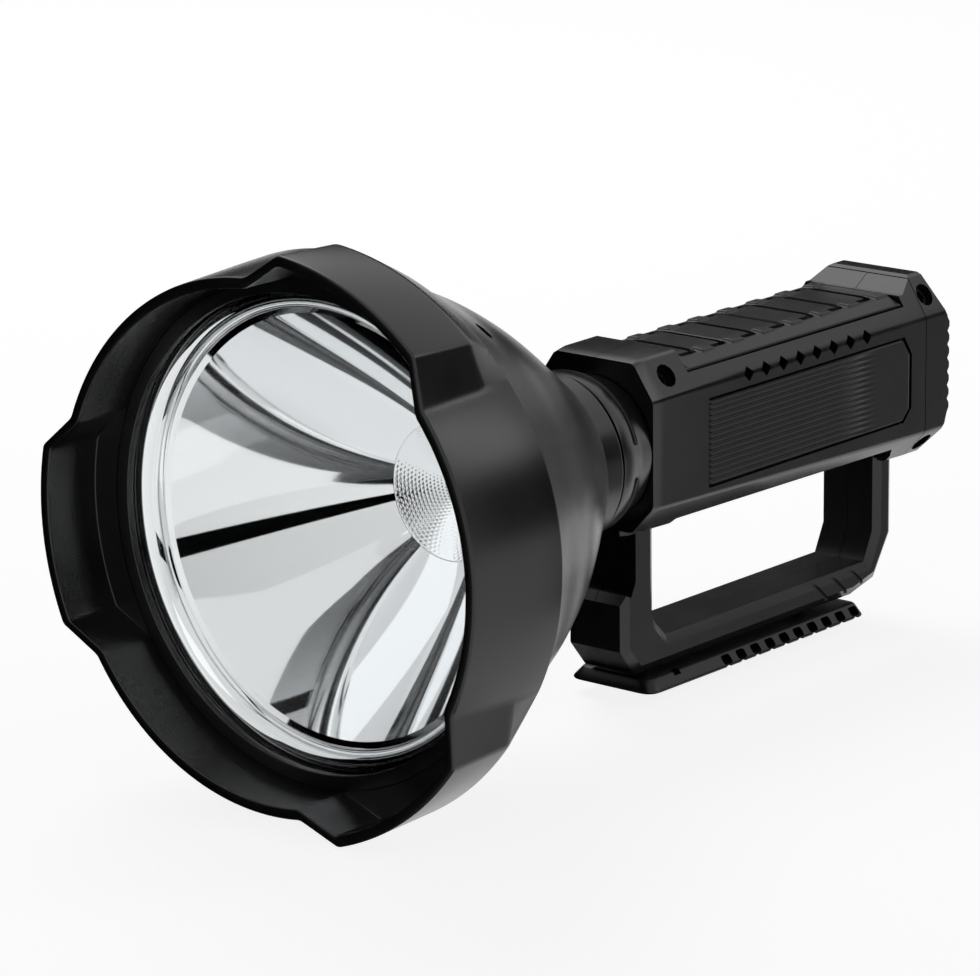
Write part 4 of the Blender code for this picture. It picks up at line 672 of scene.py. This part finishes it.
def pad_height(x, y, front, top, grooves):
    """Return the pad's height at a place: plates, their hooked grooves and the tabs between them."""
    across = abs(x)
    height = top - 0.0004 * (across / 0.0105) ** 2
    height = min(height, top - 0.0002 - 0.42 * max(0.0, across - 0.0118))
    for y_groove, path in grooves:
        if y_groove - 0.0065 < y < y_groove + 0.0015:
            gap = min(way_to(across, y, start, end) for start, end in zip(path, path[1:]))
            height -= 0.0016 * (1 - eased(gap, 0.00065, 0.00092))
        if y_groove + 0.0010 < y < y_groove + 0.0070:
            inside = eased(y, y_groove + 0.0011, y_groove + 0.0017) * (1 - eased(y, y_groove + 0.0061, y_groove + 0.0067))
            inside *= eased(across, 0.0086, 0.0092) * (1 - eased(across, 0.0124, 0.0130))
            height += 0.0006 * inside
    return height


def pad_mesh(fineness):
    """Make the pad on top of the grip, its plates parted by hooked grooves."""
    low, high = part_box("top_pad")
    grooves = [(low.y + 0.0105 + 0.0131 * index, None) for index in range(7)]
    grooves = [(y, hook_path(y, 0.0108, 0.0052, 0.0016)) for y, _ in grooves]
    loops = []
    for y in spread(low.y, high.y, fineness):
        end = min(y - low.y, high.y - y)
        drop = 0.0006 * (1 - eased(end, 0.0, 0.0007))
        loop = [(low.x, y, low.z), (low.x, y, low.z + 0.0003)]
        for x in spread(low.x + 0.0002, high.x - 0.0002, fineness):
            loop.append((x, y, max(low.z + 0.0004, pad_height(x, y, low.y, high.z, grooves) - drop)))
        loops.append(loop + [(high.x, y, low.z + 0.0003), (high.x, y, low.z)])
    return lofted("top_pad_fine", loops)


def panel_mesh(side, ribs, fineness):
    """Make a side panel whose fine ribs fade out towards the rear."""
    node = "side_panel_right" if side > 0 else "side_panel_left"
    low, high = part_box(node)
    inner, outer = (low.x, high.x - 0.0006) if side > 0 else (high.x, low.x + 0.0006)
    pitch = (high.z - low.z) / ribs
    loops = []
    for y in spread(low.y, high.y - 0.0004, fineness * 2):
        rear = max(0.0, y - (high.y - 0.0042))
        top = high.z - 0.0004 - rear * 1.25 * eased(rear, 0.0, 0.0012)
        bottom = low.z + rear * 0.85 * eased(rear, 0.0, 0.0012)
        fade = 1 - eased(y, high.y - 0.034, high.y - 0.014)
        loop = [(inner, y, bottom), (inner, y, top)]
        for z in spread(low.z, high.z, pitch / 8)[::-1]:
            place = bottom + (top - bottom) * (z - low.z) / (high.z - low.z)
            rim = min(place - bottom, top - place, y - low.y, high.y - 0.0004 - y)
            rib = 0.00058 * fade * (1 - abs(math.cos(math.pi * (z - low.z) / pitch)) ** 0.7)
            edge = 0.0005 * (1 - eased(rim, 0.0, 0.0006))
            loop.append((outer + side * (rib - edge), y, place))
        loops.append(loop)
    return lofted(f"{node}_fine", loops)


# Settings
class ShapeSettings(bpy.types.PropertyGroup):
    """Settings of the shapes."""

    edge_width: FloatProperty(name="Edge rounding", description="How wide the rounding of the housing's edges is",
                              default=0.0005, min=0.0001, max=0.002, unit="LENGTH", precision=5)
    lobe_rounding: FloatProperty(name="Lobe rounding", description="Rounding of the corners of the hood's lobes",
                                 default=0.0009, min=0.0001, max=0.003, unit="LENGTH", precision=5)
    cup_cells: IntProperty(name="Cup cells", description="How many honeycomb cells go around the cup",
                           default=74, min=8, max=90)
    cell_depth: FloatProperty(name="Cell depth", description="How deep each honeycomb cell is",
                              default=0.00007, min=0.0, max=0.001, unit="LENGTH", precision=5)
    panel_ribs: IntProperty(name="Panel ribs", description="How many ribs each side panel carries",
                            default=15, min=4, max=40)
    fineness: FloatProperty(name="Fineness", description="Spacing of the points on the pads", default=0.00024,
                            min=0.0001, max=0.002, unit="LENGTH", precision=5)


class FinishSettings(bpy.types.PropertyGroup):
    """Settings of the finishes."""

    plastic: FloatVectorProperty(name="Plastic", description="Colour of the moulded housing", subtype="COLOR",
                                 default=(0.0024, 0.0026, 0.0031), min=0.0, max=1.0)
    rubber: FloatVectorProperty(name="Rubber", description="Colour of the grip pads and seals", subtype="COLOR",
                                default=(0.0026, 0.0027, 0.0030), min=0.0, max=1.0)
    plastic_roughness: FloatProperty(name="Plastic roughness", description="Roughness of the moulded housing",
                                     default=0.25, min=0.0, max=1.0, subtype="FACTOR")
    rubber_roughness: FloatProperty(name="Rubber roughness", description="Roughness of the pads and the foot",
                                    default=0.33, min=0.0, max=1.0, subtype="FACTOR")
    grain: FloatProperty(name="Grain", description="Strength of the moulded grain", default=0.08, min=0.0, max=1.0)


class StudioSettings(bpy.types.PropertyGroup):
    """Settings of the studio."""

    key_power: FloatProperty(name="Key light", description="Power of the large lamp above", default=5.0, min=0.0,
                             unit="POWER")
    rim_power: FloatProperty(name="Rim light", description="Power of the lamp behind on the right", default=1.2,
                             min=0.0, unit="POWER")
    front_power: FloatProperty(name="Front light", description="Power of the lamp in front", default=0.8, min=0.0,
                               unit="POWER")
    ambient: FloatProperty(name="Ambient", description="How much the white surroundings light matt surfaces",
                           default=0.10, min=0.0, max=2.0)
    focal_length: FloatProperty(name="Focal length", description="Focal length of the camera", default=183.67,
                                min=20.0, max=400.0, unit="CAMERA")


class SearchlightOperator(bpy.types.Operator):
    """Base of the searchlight's operators."""

    bl_options = {"REGISTER", "UNDO"}


class SEARCHLIGHT_OT_finishes(SearchlightOperator):
    """Make the materials of the light."""

    bl_idname = "searchlight.finishes"
    bl_label = "Finishes"

    def execute(self, context):
        for slot, material in all_materials(context.scene.searchlight_finish).items():
            material.name = f"look_{slot}"
        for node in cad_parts.values():
            slot = node.data.materials[0].name
            node.data.materials[0] = look(slot)
        return {"FINISHED"}


class SEARCHLIGHT_OT_head(SearchlightOperator):
    """Build the hood and the bell."""

    bl_idname = "searchlight.head"
    bl_label = "Head"

    def execute(self, context):
        shape = context.scene.searchlight_shape
        plastic = look("black_plastic")
        show(hood_mesh(shape.lobe_rounding), plastic, "light", ["hood"])
        bell = show(bell_mesh(), plastic, "light", ["bell"])
        cut(bell, [screw_hole(index) for index in range(3)])
        show(bezel_mesh(), plastic, "light", ["lens_bezel"])
        return {"FINISHED"}


class SEARCHLIGHT_OT_optics(SearchlightOperator):
    """Build the lens, the reflector and the cup."""

    bl_idname = "searchlight.optics"
    bl_label = "Optics"

    def execute(self, context):
        shape = context.scene.searchlight_shape
        show(lens_mesh(), look("clear_lens"), "light", ["lens"])
        show(reflector_mesh(), look("chrome_film"), "light", ["reflector"])
        show(cup_mesh(shape.cup_cells, shape.cell_depth), look("chrome_film"), "light", ["led_cup"],
             sharp=math.pi)
        return {"FINISHED"}


class SEARCHLIGHT_OT_handle(SearchlightOperator):
    """Build the two halves of the handle and the rear cap."""

    bl_idname = "searchlight.handle"
    bl_label = "Handle"

    def execute(self, context):
        shape = context.scene.searchlight_shape
        for node in ("handle_shell_left", "handle_shell_right", "rear_cap"):
            rounded_copy(node, shape.edge_width, look("black_plastic"))
        return {"FINISHED"}


class SEARCHLIGHT_OT_neck(SearchlightOperator):
    """Build the neck's collar."""

    bl_idname = "searchlight.neck"
    bl_label = "Neck"

    def execute(self, context):
        plastic = look("black_plastic")
        show(collar_mesh(), plastic, "light", ["neck_collar"])
        for index in range(3):
            show(collar_rib_mesh(index), plastic, "light", ["neck_collar"], sharp=math.radians(50))
        return {"FINISHED"}


class SEARCHLIGHT_OT_pads(SearchlightOperator):
    """Build the pad on the grip, the ribbed side panels and the foot rail."""

    bl_idname = "searchlight.pads"
    bl_label = "Pads"

    def execute(self, context):
        shape = context.scene.searchlight_shape
        rubber = look("black_rubber")
        show(pad_mesh(shape.fineness), rubber, "light", ["top_pad"], sharp=math.radians(50))
        for side, node in ((1, "side_panel_right"), (-1, "side_panel_left")):
            mesh = panel_mesh(side, shape.panel_ribs, shape.fineness)
            show(mesh, rubber, "light", [node], sharp=math.radians(60))
        foot = show(foot_mesh(), rubber, "light", ["foot_rail"], sharp=math.radians(40))
        cut(foot, foot_cutters())
        return {"FINISHED"}


def area_light(name, place, size, power, aim, colour=(1.0, 1.0, 1.0)):
    """Add a rectangular lamp that looks at a point."""
    lamp = bpy.data.lights.new(name, "AREA")
    lamp.shape = "RECTANGLE"
    lamp.size, lamp.size_y = size
    lamp.energy = power
    lamp.color = colour
    thing = bpy.data.objects.new(name, lamp)
    thing.location = place
    thing.rotation_euler = (Vector(aim) - Vector(place)).to_track_quat("-Z", "Y").to_euler()
    bpy.context.collection.objects.link(thing)
    return thing


def card_material(name, glow):
    """Return a card's material: a flat tone that takes no light."""
    material, shader = shader_of(name, (0.0, 0.0, 0.0), 1.0)
    shader.inputs["Specular IOR Level"].default_value = 0.0
    shader.inputs["Emission Color"].default_value = (1.0, 1.0, 1.0, 1.0)
    shader.inputs["Emission Strength"].default_value = glow
    return material


def dark_card(name, turn, rise, distance, size, material, roll=0.0):
    """Stand a dark card around the light, which only mirrors see: turn is from the front, to the right."""
    turn, rise = math.radians(turn), math.radians(rise)
    way = Vector((math.sin(turn) * math.cos(rise), -math.cos(turn) * math.cos(rise), math.sin(rise)))
    mesh = bpy.data.meshes.new(name)
    half_wide, half_high = size[0] / 2, size[1] / 2
    corners = [(-half_wide, -half_high, 0), (half_wide, -half_high, 0), (half_wide, half_high, 0),
               (-half_wide, half_high, 0)]
    mesh.from_pydata(corners, [], [(0, 1, 2, 3)])
    mesh.materials.append(material)
    card = bpy.data.objects.new(name, mesh)
    card.location = Vector((0, RIM_Y / 2, AXIS_Z)) + way * distance
    card.rotation_euler = (way.to_track_quat("Z", "Y") @ Quaternion((0, 0, 1), math.radians(roll))).to_euler()
    card.visible_camera = False
    card.visible_diffuse = False
    card.visible_shadow = False
    bpy.context.collection.objects.link(card)
    return card


def studio_world(ambient):
    """Set white surroundings that the camera, metal and glass see, and a softer light for the rest."""
    world = bpy.data.worlds.new("studio")
    bpy.context.scene.world = world
    world.use_nodes = True
    tree = world.node_tree
    world.cycles.sampling_method = "NONE"
    background = tree.nodes["Background"]
    background.inputs["Color"].default_value = (1.0, 1.0, 1.0, 1.0)
    path = tree.nodes.new("ShaderNodeLightPath")
    seen = path.outputs["Is Camera Ray"]
    for other in ("Is Glossy Ray", "Is Transmission Ray"):
        either = tree.nodes.new("ShaderNodeMath")
        either.operation = "MAXIMUM"
        tree.links.new(seen, either.inputs[0])
        tree.links.new(path.outputs[other], either.inputs[1])
        seen = either.outputs[0]
    level = tree.nodes.new("ShaderNodeMapRange")
    level.inputs["To Min"].default_value = ambient
    level.inputs["To Max"].default_value = 1.0
    tree.links.new(seen, level.inputs["Value"])
    tree.links.new(level.outputs["Result"], background.inputs["Strength"])
    place = tree.nodes.new("ShaderNodeTexCoord")
    part = tree.nodes.new("ShaderNodeSeparateXYZ")
    tree.links.new(place.outputs["Generated"], part.inputs["Vector"])
    fall = tree.nodes.new("ShaderNodeMapRange")
    fall.inputs["From Min"].default_value = 0.0
    fall.inputs["From Max"].default_value = 0.22
    fall.inputs["To Min"].default_value = 1.0
    fall.inputs["To Max"].default_value = 0.84
    tree.links.new(part.outputs["Z"], fall.inputs["Value"])
    direct = tree.nodes.new("ShaderNodeMix")
    tree.links.new(path.outputs["Is Camera Ray"], direct.inputs["Factor"])
    tree.links.new(fall.outputs["Result"], direct.inputs["A"])
    direct.inputs["B"].default_value = 1.0
    tree.links.new(direct.outputs["Result"], background.inputs["Color"])


def floor_material():
    """Return a floor that reads white and still takes a shadow."""
    material = bpy.data.materials.new("studio_floor")
    material.use_nodes = True
    tree = material.node_tree
    tree.nodes.clear()
    matt = tree.nodes.new("ShaderNodeBsdfDiffuse")
    matt.inputs["Color"].default_value = (0.45, 0.45, 0.45, 1.0)
    glow = tree.nodes.new("ShaderNodeEmission")
    path = tree.nodes.new("ShaderNodeLightPath")
    level = tree.nodes.new("ShaderNodeMath")
    level.operation = "MULTIPLY"
    level.inputs[1].default_value = 0.86
    tree.links.new(path.outputs["Is Camera Ray"], level.inputs[0])
    tree.links.new(level.outputs[0], glow.inputs["Strength"])
    both = tree.nodes.new("ShaderNodeAddShader")
    tree.links.new(matt.outputs["BSDF"], both.inputs[0])
    tree.links.new(glow.outputs["Emission"], both.inputs[1])
    end = tree.nodes.new("ShaderNodeOutputMaterial")
    tree.links.new(both.outputs["Shader"], end.inputs["Surface"])
    return material


class SEARCHLIGHT_OT_studio(SearchlightOperator):
    """Build the studio: camera, lamps, dark cards, surroundings and floor."""

    bl_idname = "searchlight.studio"
    bl_label = "Studio"

    def execute(self, context):
        studio = context.scene.searchlight_studio
        scene = context.scene
        camera = bpy.data.cameras.new("camera")
        camera.lens = studio.focal_length
        camera.sensor_width = 36.0
        camera.clip_end = 50.0
        eye = bpy.data.objects.new("camera", camera)
        right, up, back = (0.77022, 0.63770, -0.00993), (-0.15555, 0.20294, 0.96676), (0.61852, -0.74307, 0.25550)
        turn = Matrix((right, up, back)).transposed()
        eye.matrix_world = Matrix.Translation((0.783685, RIM_Y - 0.854930, AXIS_Z + 0.321301)) @ turn.to_4x4()
        context.collection.objects.link(eye)
        scene.camera = eye
        studio_world(studio.ambient)
        mesh = bpy.data.meshes.new("floor")
        mesh.from_pydata([(-6, -6, 0), (6, -6, 0), (6, 6, 0), (-6, 6, 0)], [], [(0, 1, 2, 3)])
        mesh.materials.append(floor_material())
        ground = bpy.data.objects.new("floor", mesh)
        ground.location = (0, 0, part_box("hood")[0].z - 0.0002)
        ground.visible_glossy = False
        ground.visible_transmission = False
        context.collection.objects.link(ground)
        middle = (0, 0, AXIS_Z)
        area_light("key_light", (-0.9, 0.5, 1.3), (0.9, 0.9), studio.key_power, middle)
        area_light("rim_light", (1.1, 0.9, 0.95), (0.3, 0.6), studio.rim_power, middle)
        area_light("front_light", (0.3, -1.5, 0.9), (0.8, 0.8), studio.front_power, middle)
        black, grey = card_material("dark_card", 0.0), card_material("grey_card", 0.24)
        dark_card("card_front_left", -75, -12, 1.8, (4.2, 3.4), black)
        dark_card("card_camera", 55, 6, 1.6, (0.95, 0.24), black, roll=16)
        dark_card("card_below", 0, -88, 0.9, (1.3, 1.3), black)
        dark_card("card_back_right", 137, 8, 1.65, (0.95, 0.60), black)
        dark_card("card_low_right", 150, -13, 1.75, (0.75, 0.85), grey)
        dark_card("card_back", -168, -2, 1.75, (1.15, 0.55), grey)
        dark_card("card_back_left", -146, 13, 1.7, (1.1, 0.62), black)
        scene.view_settings.view_transform = "Standard"
        return {"FINISHED"}


class SEARCHLIGHT_PT_panel(bpy.types.Panel):
    """Panel of the searchlight in the sidebar of the 3D view."""

    bl_idname = "SEARCHLIGHT_PT_panel"
    bl_label = "Searchlight"
    bl_space_type = "VIEW_3D"
    bl_region_type = "UI"
    bl_category = "Searchlight"

    def draw(self, context):
        layout = self.layout
        for group in (context.scene.searchlight_shape, context.scene.searchlight_finish,
                      context.scene.searchlight_studio):
            box = layout.box()
            for name in group.__annotations__:
                box.prop(group, name)
        for operator in OPERATORS:
            layout.operator(operator.bl_idname)


OPERATORS = (SEARCHLIGHT_OT_finishes, SEARCHLIGHT_OT_head, SEARCHLIGHT_OT_optics, SEARCHLIGHT_OT_neck,
             SEARCHLIGHT_OT_handle, SEARCHLIGHT_OT_pads, SEARCHLIGHT_OT_studio)
CLASSES = (ShapeSettings, FinishSettings, StudioSettings, *OPERATORS, SEARCHLIGHT_PT_panel)


def register():
    """Register the add-on's classes and settings."""
    for item in CLASSES:
        bpy.utils.register_class(item)
    bpy.types.Scene.searchlight_shape = PointerProperty(type=ShapeSettings)
    bpy.types.Scene.searchlight_finish = PointerProperty(type=FinishSettings)
    bpy.types.Scene.searchlight_studio = PointerProperty(type=StudioSettings)


def unregister():
    """Remove what register added."""
    del bpy.types.Scene.searchlight_studio
    del bpy.types.Scene.searchlight_finish
    del bpy.types.Scene.searchlight_shape
    for item in reversed(CLASSES):
        bpy.utils.unregister_class(item)


def main():
    """Build everything."""
    register()
    bpy.ops.searchlight.finishes()
    bpy.ops.searchlight.head()
    bpy.ops.searchlight.optics()
    bpy.ops.searchlight.neck()
    bpy.ops.searchlight.handle()
    bpy.ops.searchlight.pads()
    bpy.ops.searchlight.studio()


if __name__ == "__main__":
    main()
